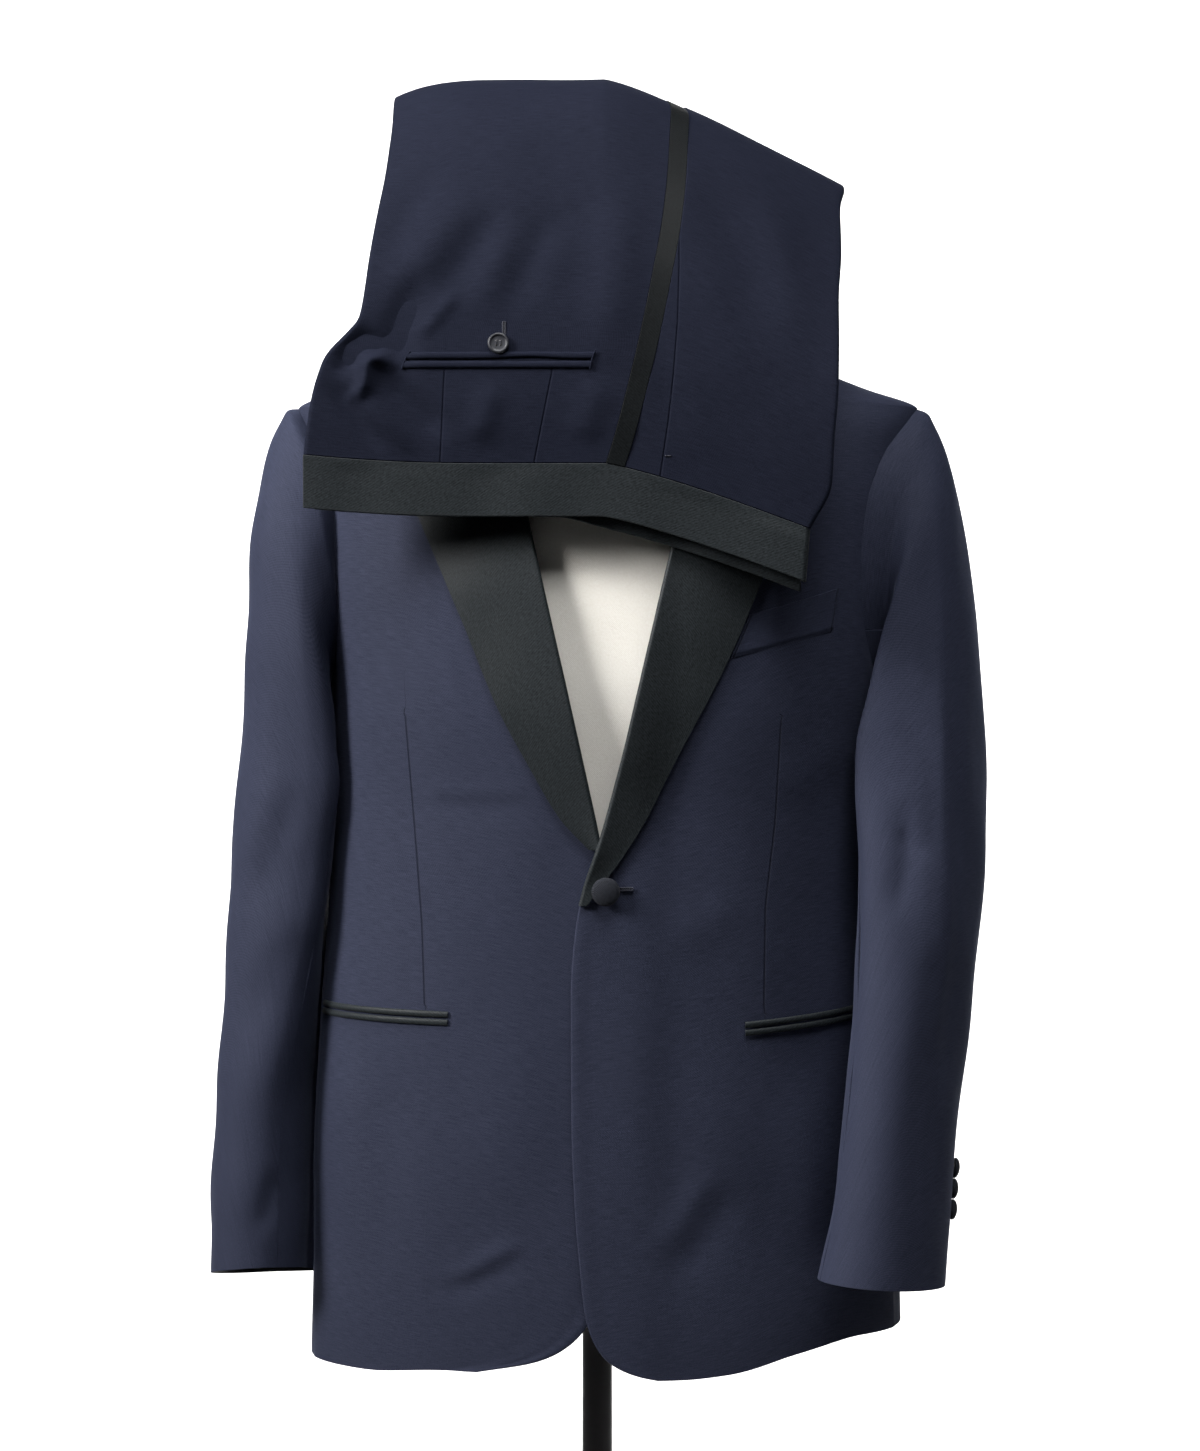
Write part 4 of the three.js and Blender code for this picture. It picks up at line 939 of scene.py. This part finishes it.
HIP_POCKETS = {"left": (25, 954, 72, 966), "right": (-30, 961, -77, 963)}
JET_HEIGHT = 4.6
MOUTH_HEIGHT = 1.0
for side_name, (angle0, z0, angle1, z1) in HIP_POCKETS.items():
    for jet, top in (("upper", 0), ("lower", JET_HEIGHT + MOUTH_HEIGHT)):
        t, s = row_of(110), column_of(13)
        height = mix(z0, z1, t) - top - s * JET_HEIGHT
        bulge = 0.6 + 1.4 * half_round(s) + 0 * t
        points = body_at(mix(angle0, angle1, t) + 0 * s, height, bulge)
        facing = -1 if side_name == "left" else 1
        strip(f"pocket_jet_{jet}_{side_name}", points, facing, dark_satin, 0.8)

WELT_HEIGHT = 31
WELT_START, WELT_END = (107, 1241), (172, 1261)
t, s = row_of(60), column_of(30)
down = WELT_HEIGHT * s
z = mix(WELT_START[1], WELT_END[1], t) - down
x = mix(read(LEFT_LAPEL_EDGE, "x", z) + 1.5, WELT_END[0] - down * 0.15, t)
welt_lift = 1.5 - 1.0 * ease((s - 0.88) / 0.12) + 0 * t
# The welt's end seams are drawn as lines of painted shade along line_a, sunk in by a bump.
welt_length = WELT_END[0] - WELT_START[0]
welt_seam = np.minimum(t, 1 - t) * welt_length - 1.6 + 0 * s
strip("chest_welt", body_at(angle_at_x(x, z), z, welt_lift), -1, navy_seam_shaded, 1.2,
      {"line_a": welt_seam})


def covered_button(name, diameter, place, axis):
    r = diameter / 2
    profile = rounded([(0, 0), (r * 0.8, 0), (r * 0.97, 0.6), (r, 1.4), (r * 0.96, 2.3), (r * 0.8, 3.4),
                       (r * 0.5, 4.3), (r * 0.2, 4.75), (0, 4.8)])
    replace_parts(turned(name, profile, button_cloth, 56, place, axis), name)


BUTTON_SPOT = (6.0, 1047.0)
CUFF_BUTTON_STATION, CUFF_BUTTON_STEP = 10.8, 0.216
FRONT_BUTTON_SIZE, CUFF_BUTTON_SIZE = 20, 14.6
angle = angle_at_x(*BUTTON_SPOT)
normal = body_normal(angle, BUTTON_SPOT[1])
covered_button("front_button", FRONT_BUTTON_SIZE, body_point(angle, BUTTON_SPOT[1]) + normal * (
    closing_lift(BUTTON_SPOT[0]) + 2 * LAY_GAP + LAPEL_WALL), normal)
for side_name, side, rows in (("left", 1, LEFT_SLEEVE), ("right", -1, RIGHT_SLEEVE)):
    for k in range(3):
        station = CUFF_BUTTON_STATION + k * CUFF_BUTTON_STEP
        stop = BACK_SEAM_STOP + 0.75
        near = lambda a, b: sleeve_grid(side, rows, np.array([[stop + a]]), np.array([[station + b]]))[0, 0]
        normal = unit(np.cross(near(0.1, 0) - near(-0.1, 0), near(0, 0.02) - near(0, -0.02))) * side
        place = near(0, 0) + normal * LAY_GAP
        covered_button(f"cuff_button_{side_name}_{k + 1}", CUFF_BUTTON_SIZE, place, normal)


# Trousers


def drape_point(across, at):
    left, right = read(DRAPE, "left", at), read(DRAPE, "right", at)
    x = mix(left, right, across)
    right_share = np.maximum(0, (x - DROP_START) / (right - DROP_START))
    left_share = np.maximum(0, (LEFT_DROP_START - x) / (LEFT_DROP_START - left))
    drop = read(DRAPE, "drop_right", at) * right_share**1.2 + read(DRAPE, "drop_left", at) * left_share**2
    edge = np.maximum(right_share, left_share)
    return stack(x, read(DRAPE, "y", at) * (1 - read(DRAPE, "pinch", at) * edge * edge),
                 read(DRAPE, "z", at) - drop)


def drape_normal(across, at):
    a, t = np.clip(across, 0.01, 0.99), np.clip(at, 0.05, DRAPE_END - 0.05)
    du = drape_point(a + 0.01, t) - drape_point(a - 0.01, t)
    dv = drape_point(a, t + 0.05) - drape_point(a, t - 0.05)
    return unit(np.cross(du, dv))


def drape_at(across, at, depth):
    return drape_point(across, at) - drape_normal(across, at) * np.asarray(depth, float)[..., None]


SEAT_FOLDS = [
    ([(-134, 1414.5), (-143.6, 1415), (-150.7, 1418.3), (-156.6, 1418), (-160.3, 1414), (-161, 1407),
      (-162, 1400), (-165.4, 1394.6), (-171.5, 1392), (-178, 1394)], 5.0, 6.0),
    ([(-142, 1423), (-151, 1429), (-162, 1432), (-171, 1426), (-175, 1414), (-171, 1402)], 8.5, -5.5),
    ([(-144, 1400), (-141, 1420), (-137, 1442), (-130, 1462), (-120, 1490)], 12.0, -4.2),
    ([(-96, 1472), (-104, 1459), (-116, 1444), (-130, 1432)], 6.0, 1.8),
    ([(-194, 1408), (-175.6, 1390), (-158, 1366), (-134, 1336)], 9.0, -4.0),
    ([(-156, 1418), (-137.3, 1396.7), (-120, 1379), (-100, 1358)], 9.0, -3.6),
    ([(-176, 1402), (-160, 1384), (-142, 1362), (-122, 1338)], 8.0, 3.0),
    ([(-83, 1548), (-116, 1501), (-145, 1452)], 16, 3.0),
    ([(-60, 1535), (-96, 1487), (-120, 1455)], 14, -3.0),
    ([(-106, 1580), (-134, 1529), (-150, 1474)], 14, -2.6),
    ([(-63, 1446), (-47, 1487), (-28, 1535)], 12, -2.4),
    ([(-84, 1440), (-72, 1487), (-58, 1530)], 12, 1.8),
    ([(-60, 1610), (-66, 1560), (-60, 1500)], 24, 2.4),
    ([(20, 1560), (14, 1480), (4, 1400)], 16, 2.2),
    ([(-20, 1560), (-10, 1500), (-14, 1440)], 20, -2.4),
    ([(-86, 1352), (-78, 1380), (-70, 1406)], 10, 2.2),
    ([(-14, 1352), (-4, 1384), (6, 1410)], 12, 2.0),
]
FRONT_LEG_FOLDS = [
    ([(70, 1560), (100, 1500), (130, 1440)], 20, -1.6),
    ([(60, 1500), (84, 1440), (110, 1380)], 20, 1.8),
    ([(120, 1560), (132, 1480), (136, 1400)], 16, 1.6),
    ([(30, 1480), (44, 1420), (60, 1350)], 14, -1.4),
]
DRAPE_LINES = np.concatenate([np.linspace(0, 4, 92, endpoint=False), np.linspace(4, 14, 110, endpoint=False),
                              np.linspace(14, 20, 60)])


def stripe_edge(at, offset):
    """Share across the drape of a line beside the stripe's middle, offset in millimetres."""
    left, right = read(DRAPE, "left", at), read(DRAPE, "right", at)
    x = np.full(np.shape(at), 40.0)
    for _ in range(12):
        drop = read(DRAPE, "drop_right", at) * ((x - DROP_START) / (right - DROP_START)) ** 1.2
        x = read(STRIPE_FRONT, "x", read(DRAPE, "z", at) - drop)
    x = np.where(at < STRIPE_BACK["at"][0], x, read(STRIPE_BACK, "x", at))
    return (x + offset - left) / (right - left)


def leg_grid(start, stop, columns, depth=0.0, inset=(0, 0)):
    at = DRAPE_LINES[:, None]
    width = read(DRAPE, "right", at) - read(DRAPE, "left", at)
    across = mix(start(at) + inset[0] / width, stop(at) - inset[1] / width, row_of(columns))
    at = at + 0 * across
    return drape_at(across, at, np.full_like(across, depth)), across, at


def front_only(points):
    """1 on the front of the drape, where folds were read from the photograph, and 0 behind."""
    return ease((20 - points[..., 1]) / 60)


def leg_height(points, folds, seed):
    return creases(points, folds) * front_only(points) + unevenness(points, 95, 0.9, seed)


SEAT_SEED, FRONT_LEG_SEED = 71, 73


def on_seat(across, at, lift):
    """Points a little above the creased cloth of the seat."""
    base = drape_at(across, at, np.zeros_like(across))
    return base + drape_normal(across, at) * (leg_height(base, SEAT_FOLDS, SEAT_SEED) + lift)[..., None]


def seat_spot(x, z):
    """Place on the seat, across and down, that shows at x and z from the front."""
    low, high = 0.0, 6.0
    for _ in range(40):
        at = (low + high) / 2
        left, right = read(DRAPE, "left", at), read(DRAPE, "right", at)
        across = (x - left) / (right - left)
        low, high = (at, high) if drape_point(across, at)[2] < z else (low, at)
    return float(across), at


def leg_panel(name, start, stop, columns, folds, finish, seed, roll=None, lines=None):
    inset = (3.0, 0) if roll == "first" else (0, 3.0)
    points, across, at = leg_grid(start, stop, columns, 0, inset)
    points = smooth(points, 3)
    height = leg_height(points, folds, seed) * (0.2 + 0.8 * ease(at / 0.8))
    points = raised(points, 1, height)
    fields = {}
    for key, (line, low, high) in (lines or {}).items():
        field = line_field(points[..., 0], points[..., 2], line, low, high)
        fields[key] = np.where(points[..., 1] < 0, field, 99.0)
    turns = 9
    rolled = roll_edge(points, 1, roll, 2.9, math.pi * 0.93, turns)
    for key, field in fields.items():
        pad = [(0, 0), (turns, 0)] if roll == "first" else [(0, 0), (0, turns)]
        fields[key] = np.pad(field, pad, mode="edge")
    piece = sheet_mesh(name, rolled, 1, finish, lines=fields)
    lay(piece, name)


half = STRIPE_WIDTH / 2
# The back darts are drawn as lines of painted shade, sunk in by a bump.
BACK_DARTS = {
    "line_a": ([(-109.4, 1340), (-106.2, 1410)], 1335, 1410),
    "line_b": ([(-44.8, 1340), (-31, 1410.5)], 1335, 1410.5),
}
# The side pocket's mouth is drawn as a line of painted shade, sunk in by a bump.
POCKET_OPENING = {"line_a": ([(44, 1335), (50, 1376), (53.6, 1409), (56.5, 1446), (57.8, 1485), (58.2, 1518)],
                             1335, 1520)}
leg_panel("trouser_back_panel", lambda at: 0 * at, lambda at: stripe_edge(at, -half - 0.1), 116, SEAT_FOLDS,
          leg_wool_two_seams_shaded, SEAT_SEED, "first", BACK_DARTS)
leg_panel("trouser_front_panel", lambda at: stripe_edge(at, half + 0.1), lambda at: 0 * at + 1, 52,
          FRONT_LEG_FOLDS, leg_wool_seam_shaded, FRONT_LEG_SEED, "last", POCKET_OPENING)

points, across, at = leg_grid(lambda at: stripe_edge(at, -half), lambda at: stripe_edge(at, half), 9)
points = smooth(points, 3)
seat_height = leg_height(points, SEAT_FOLDS, SEAT_SEED)
points = raised(points, 1, seat_height * (0.2 + 0.8 * ease(at / 0.8)) + 0.5)
stripe = sheet_mesh("trouser_stripe", points, 1, stripe_satin_shaded, wall=1.2)
lay(stripe, "trouser_stripe")

LAYERS = [("near_leg_underside", 4.0, 1.5, 81), ("far_leg_face", 6.6, 1.0, 83),
          ("far_leg_underside", 9.9, 1.4, 89)]
for name, depth, inset, seed in LAYERS:
    points, across, at = leg_grid(lambda at: 0 * at, lambda at: 0 * at + 1, 96, depth, (inset + 2, inset + 2))
    points = smooth(points, 3)
    points = raised(points, 1, unevenness(points, 110, 0.25, seed))
    if name == "far_leg_face":
        for edge in ("first", "last"):
            points = roll_edge(points, 1, edge, 1.7, math.pi * 0.9, 7)
    piece = sheet_mesh(name, points, 1, leg_wool, wall=1.3)
    lay(piece, "trouser_folded_layers")


LOOP_RADIUS = 4.0
BAND_WIDTH, BAND_HEIGHT = 354, 37


def waistband(name, depth, slip, start, seed):
    across = mix(start, 1 - LOOP_RADIUS / BAND_WIDTH, row_of(120))
    s = column_of(22)
    at = np.zeros_like(across + s)
    points = drape_at(across + 0 * s, at, np.full_like(at, depth))
    points[..., 0] -= 3 * across * s
    points[..., 2] -= 0.3 + slip * ease((across - 0.5) / 0.12) + BAND_HEIGHT * s
    ripple = unevenness(points * (1, 1, 0.2), 34, 0.4, seed) + unevenness(points, 90, 0.7, seed + 1)
    points = raised(points, -1, ripple * ease(s / 0.3))
    if depth == 0:
        points = roll_edge(points, -1, "last", LOOP_RADIUS, math.pi * 0.92, 12)
    piece = sheet_mesh(name, points, -1, band_satin, wall=2.2, rim=0.4)
    lay(piece, name)


waistband("waistband_near", 0, 0, 0, 91)
waistband("waistband_far", 8, 8, 0.02, 97)

POCKET_START, POCKET_END = 0.16, 0.525
for lip, low, high in (("upper", 2.065, 2.22), ("lower", 1.88, 2.035)):
    t, s = row_of(90), column_of(11)
    gape = 0.035 * np.sin(math.pi * ease((t - 0.3) / 0.7)) ** 2 * (1 if lip == "upper" else -0.4)
    edge = (high if lip == "lower" else low) + gape
    bulge = 0.3 + 1.6 * half_round(s) + 0 * t
    rows = mix(low, edge, s) if lip == "lower" else mix(edge, high, s)
    points = on_seat(mix(POCKET_START, POCKET_END, t) + 0 * s, rows + 0 * t, bulge)
    strip(f"back_pocket_lip_{lip}", points, 1, leg_wool, 0.8)

POCKET_BUTTON = np.array([0.325, 2.38])
normal = drape_normal(POCKET_BUTTON[0], POCKET_BUTTON[1])
place = on_seat(POCKET_BUTTON[0], POCKET_BUTTON[1], 0.9)
profile = rounded([(0, 0), (6.4, 0), (7.4, 0.6), (7.5, 1.6), (6.9, 2.6), (5.8, 2.7), (5.0, 2.0), (0, 1.9)])
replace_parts(turned("back_pocket_button", profile, button_plastic, 56, place, normal),
            "back_pocket_button")


def thread(name, path, normals, radius, finish=thread_finish):
    """Thin round thread along a path of points in millimetres."""
    path = np.array(path, float)
    tangent = unit(np.gradient(path, axis=0))
    sideways = unit(np.cross(tangent, normals))
    up = np.cross(sideways, tangent)
    turn = 2 * math.pi * np.arange(8) / 8
    rings = path[:, None] + radius * (np.cos(turn)[:, None] * sideways[:, None]
                                      + np.sin(turn)[:, None] * up[:, None])
    solid_mesh(name, rings, finish)


def buttonhole(name, place_of, length, half_width, radius):
    """Worked edge round a slit. place_of gives a point and its normal from along and across in mm."""
    turn = np.linspace(-math.pi / 2, math.pi / 2, 9)
    outline = [(0, -half_width)] + [(length - half_width + half_width * math.cos(a), half_width * math.sin(a))
                                    for a in turn] + [(0, half_width)]
    outline = np.array(rounded(outline, 6))
    path, normals = place_of(outline[:, 0], outline[:, 1])
    thread(name, path, normals, radius)
    middle, normals = place_of(np.linspace(0, length - 1, 12), np.zeros(12))
    thread(name + "_slit", middle - normals * 0.2, normals, half_width * 0.6, button_cloth)


def jacket_spot(along, across):
    x, z = 10.5 + along, 1048.6 + across
    angle = angle_at_x(x, z)
    return body_at(angle, z, closing_lift(x) + 0.9), body_normal(angle, z)


def pocket_spot(along, across):
    acrosses, ats = np.array([seat_spot(-65.0 + b, 1433.0 + a) for a, b in zip(along, across)]).T
    return on_seat(acrosses, ats, 0.25), drape_normal(acrosses, ats)


buttonhole("front_buttonhole", jacket_spot, 14.5, 0.9, 0.5)
buttonhole("back_pocket_buttonhole", pocket_spot, 11.8, 0.9, 0.45)

for tack, end in (("pocket_tack_left", POCKET_START), ("pocket_tack_right", POCKET_END)):
    at = mix(1.86, 2.24, np.linspace(0, 1, 16))
    across = end + 0 * at
    thread(tack, on_seat(across, at, 1.5), drape_normal(across, at), 0.55, leg_wool)
across, at = np.array([seat_spot(49.4 + e, 1350.7) for e in np.linspace(-2.2, 2.2, 8)]).T
base_points, normals = drape_at(across, at, np.zeros_like(across)), drape_normal(across, at)
lift = leg_height(base_points, FRONT_LEG_FOLDS, FRONT_LEG_SEED) * 0.3 + 0.3
thread("side_pocket_tack", base_points + normals * lift[..., None], normals, 0.45)

sideways = unit(np.cross(normal, (0, 0, 1.0)))
upward = np.cross(sideways, normal)
HOLE_REACH = 1.5
for k, (a, b) in enumerate(((-1, -1), (1, -1), (-1, 1), (1, 1))):
    spot = place + (a * sideways + b * upward) * HOLE_REACH
    turned(f"button_hole_{k + 1}", [(0, 1.85), (0.8, 1.85), (0.8, 2.0), (0, 2.0)], coat,
           24, spot, normal)
for k, a in enumerate((-1, 1)):
    t = np.linspace(-1, 1, 14)[:, None]
    path = place + (a * sideways + t * upward) * HOLE_REACH + normal * (2.05 + 0.35 * (1 - t**4))
    thread(f"button_thread_{k + 1}", path, np.broadcast_to(normal, path.shape), 0.32)


# Dress form, pole and base


def form_torso():
    count = 120
    turn_angle = 360 * np.arange(count) / count - 180
    levels = [(z, 1.0) for z in (868, 890, 950, 1010, 1070, 1130, 1190, 1250, 1300, 1340, 1370, 1390)]
    shoulder = [mix(ARMHOLE_TOP, NECK_HEIGHT, k / 4) for k in range(4)]
    levels += [(z, 1.0) for z in shoulder[:3]] + [(shoulder[3], 0.92)]

    def ring(z, scale):
        inset = CLOTH_WALL + mix(11, 1.25, float(ease((z - 1330) / 60)))
        points = body_at(turn_angle, np.full(count, float(z)), np.full(count, -inset))
        mid = float(read(BODY, "mid", z))
        reach = np.clip(points[:, 0] - mid, -196, 196)
        return stack(mid + reach * scale, points[:, 1] * scale, points[:, 2])

    def round_ring(z, half_x, half_y):
        turn = np.radians(turn_angle)
        return stack(half_x * np.sin(turn), -half_y * np.cos(turn), z)

    foot = ring(868, 0.94)
    foot[:, 2] = 862
    stations = [foot] + [ring(z, scale) for z, scale in levels]
    stations += [round_ring(NECK_HEIGHT, 63, 57), round_ring(1474, 58, 57)]
    rings = np.array(stations)
    fine = [rings[0]]
    for k in range(1, len(rings) - 1):
        a, b = rings[k], rings[k + 1]
        for t in np.linspace(0, 1, 6, endpoint=False):
            fine.append(mix(a, b, t))
    fine.append(rings[-1])
    points = smooth(np.array(fine), 3)
    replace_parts(solid_mesh("form_torso", points, jersey), "form_torso")


form_torso()
cap_top = DRAPE_TOP - 12 - 1.5
NECK = [(0, 1474.3), (55, 1474.3), (57, 1476), (56.2, 1500), (55.5, 1515), (55.8, 1535), (56, 1553),
        (54, 1556), (0, 1556)]
CAP = rounded([(0, 1556.3), (54, 1556.3), (55, 1558), (54.5, cap_top - 52), (47, cap_top - 31),
               (36, cap_top - 17), (20, cap_top - 5), (0, cap_top)])
POLE = [(0, 52.3), (11, 52.3), (11, 828), (0, 828)]
POLE_COLLAR = [(0, 828.3), (17, 828.3), (18, 831), (18, 854), (34, 857), (34, 861.7), (0, 861.7)]
BASE = [(0, 0), (188, 0), (190, 2), (190, 8), (186, 12), (36, 14), (22, 20), (18, 49), (15, 52), (0, 52)]
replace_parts(turned("form_neck", NECK, jersey, 96), "form_neck")
for name, profile, sides, bevel in (("form_neck_cap", CAP, 96, 0.0), ("pole", POLE, 64, 0.6),
                                    ("pole_collar", POLE_COLLAR, 64, 0.8), ("base", BASE, 128, 1.2)):
    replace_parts(turned(name, profile, coat, sides, bevel=bevel), name)


# Stage, light and camera


def backdrop():
    """Pale floor that curves up into a wall behind the object."""
    floor_end, bend, wall_top, half_width = 4.2, 1.6, 5.0, 2.6
    profile = [(-7.0, 0.0), (floor_end, 0.0)]
    for k in range(1, 25):
        a = math.pi / 2 * k / 24
        profile.append((floor_end + bend * math.sin(a), bend * (1 - math.cos(a))))
    profile.append((floor_end + bend, wall_top))
    verts = [(x, y, z) for y, z in profile for x in (-half_width, half_width)]
    faces = [(2 * i, 2 * i + 1, 2 * i + 3, 2 * i + 2) for i in range(len(profile) - 1)]
    linked("backdrop", smooth_mesh("backdrop", verts, faces, backdrop_finish("studio white", 0.93)))


def softbox(name, place, aim, size, power, tint=(1, 1, 1), spread=180):
    light = bpy.data.lights.new(name, "AREA")
    light.shape = "RECTANGLE"
    light.size, light.size_y = size
    light.energy = power
    light.spread = math.radians(spread)
    light.color = tint
    lamp = linked(name, light)
    lamp.location = place
    lamp.rotation_euler = (Vector(aim) - Vector(place)).to_track_quat("-Z", "Y").to_euler()


backdrop()
SENSOR = 36
FRAME_HEIGHT = 1451
FOCAL_PIXELS = 3240
EYE = (0.002, -2.4, 1.163)
ROOM_LIGHT, SEEN_WHITE = 0.025, 0.95

softbox("key", (-2.6, -1.1, 2.85), (-0.22, 0, 1.5), (1.3, 1.6), 19, (1, 0.985, 0.965), 38)
softbox("fill", (2.6, -3.2, 2.6), (0, 0, 1.4), (2.0, 2.0), 0.7, (0.97, 0.98, 1))
softbox("top", (0.1, -0.9, 3.4), (0.0, 0, 1.5), (1.8, 1.5), 14, (1, 1, 1), 55)
softbox("wall left", (-2.4, 3.0, 2.4), (0.3, 5.8, 1.6), (0.8, 2.4), 205)
softbox("wall right", (2.4, 3.0, 2.4), (-0.3, 5.8, 1.6), (0.8, 2.4), 215)

world = bpy.data.worlds.new("studio")
world.use_nodes = True
surround = world.node_tree.nodes["Background"]
seen = world.node_tree.nodes.new("ShaderNodeLightPath").outputs["Is Camera Ray"]
strength = world.node_tree.nodes.new("ShaderNodeMapRange")
strength.inputs["To Min"].default_value = ROOM_LIGHT
strength.inputs["To Max"].default_value = SEEN_WHITE
world.node_tree.links.new(seen, strength.inputs["Value"])
world.node_tree.links.new(strength.outputs["Result"], surround.inputs["Strength"])
surround.inputs["Color"].default_value = (1, 1, 1, 1)
bpy.context.scene.world = world
bpy.context.scene.view_settings.view_transform = "Standard"

camera_data = bpy.data.cameras.new("camera")
camera_data.sensor_fit = "VERTICAL"
camera_data.sensor_height = SENSOR
camera_data.lens = FOCAL_PIXELS / FRAME_HEIGHT * SENSOR
camera = linked("camera", camera_data)
camera.location = EYE
camera.rotation_euler = (math.pi / 2, 0, 0)
bpy.context.scene.camera = camera
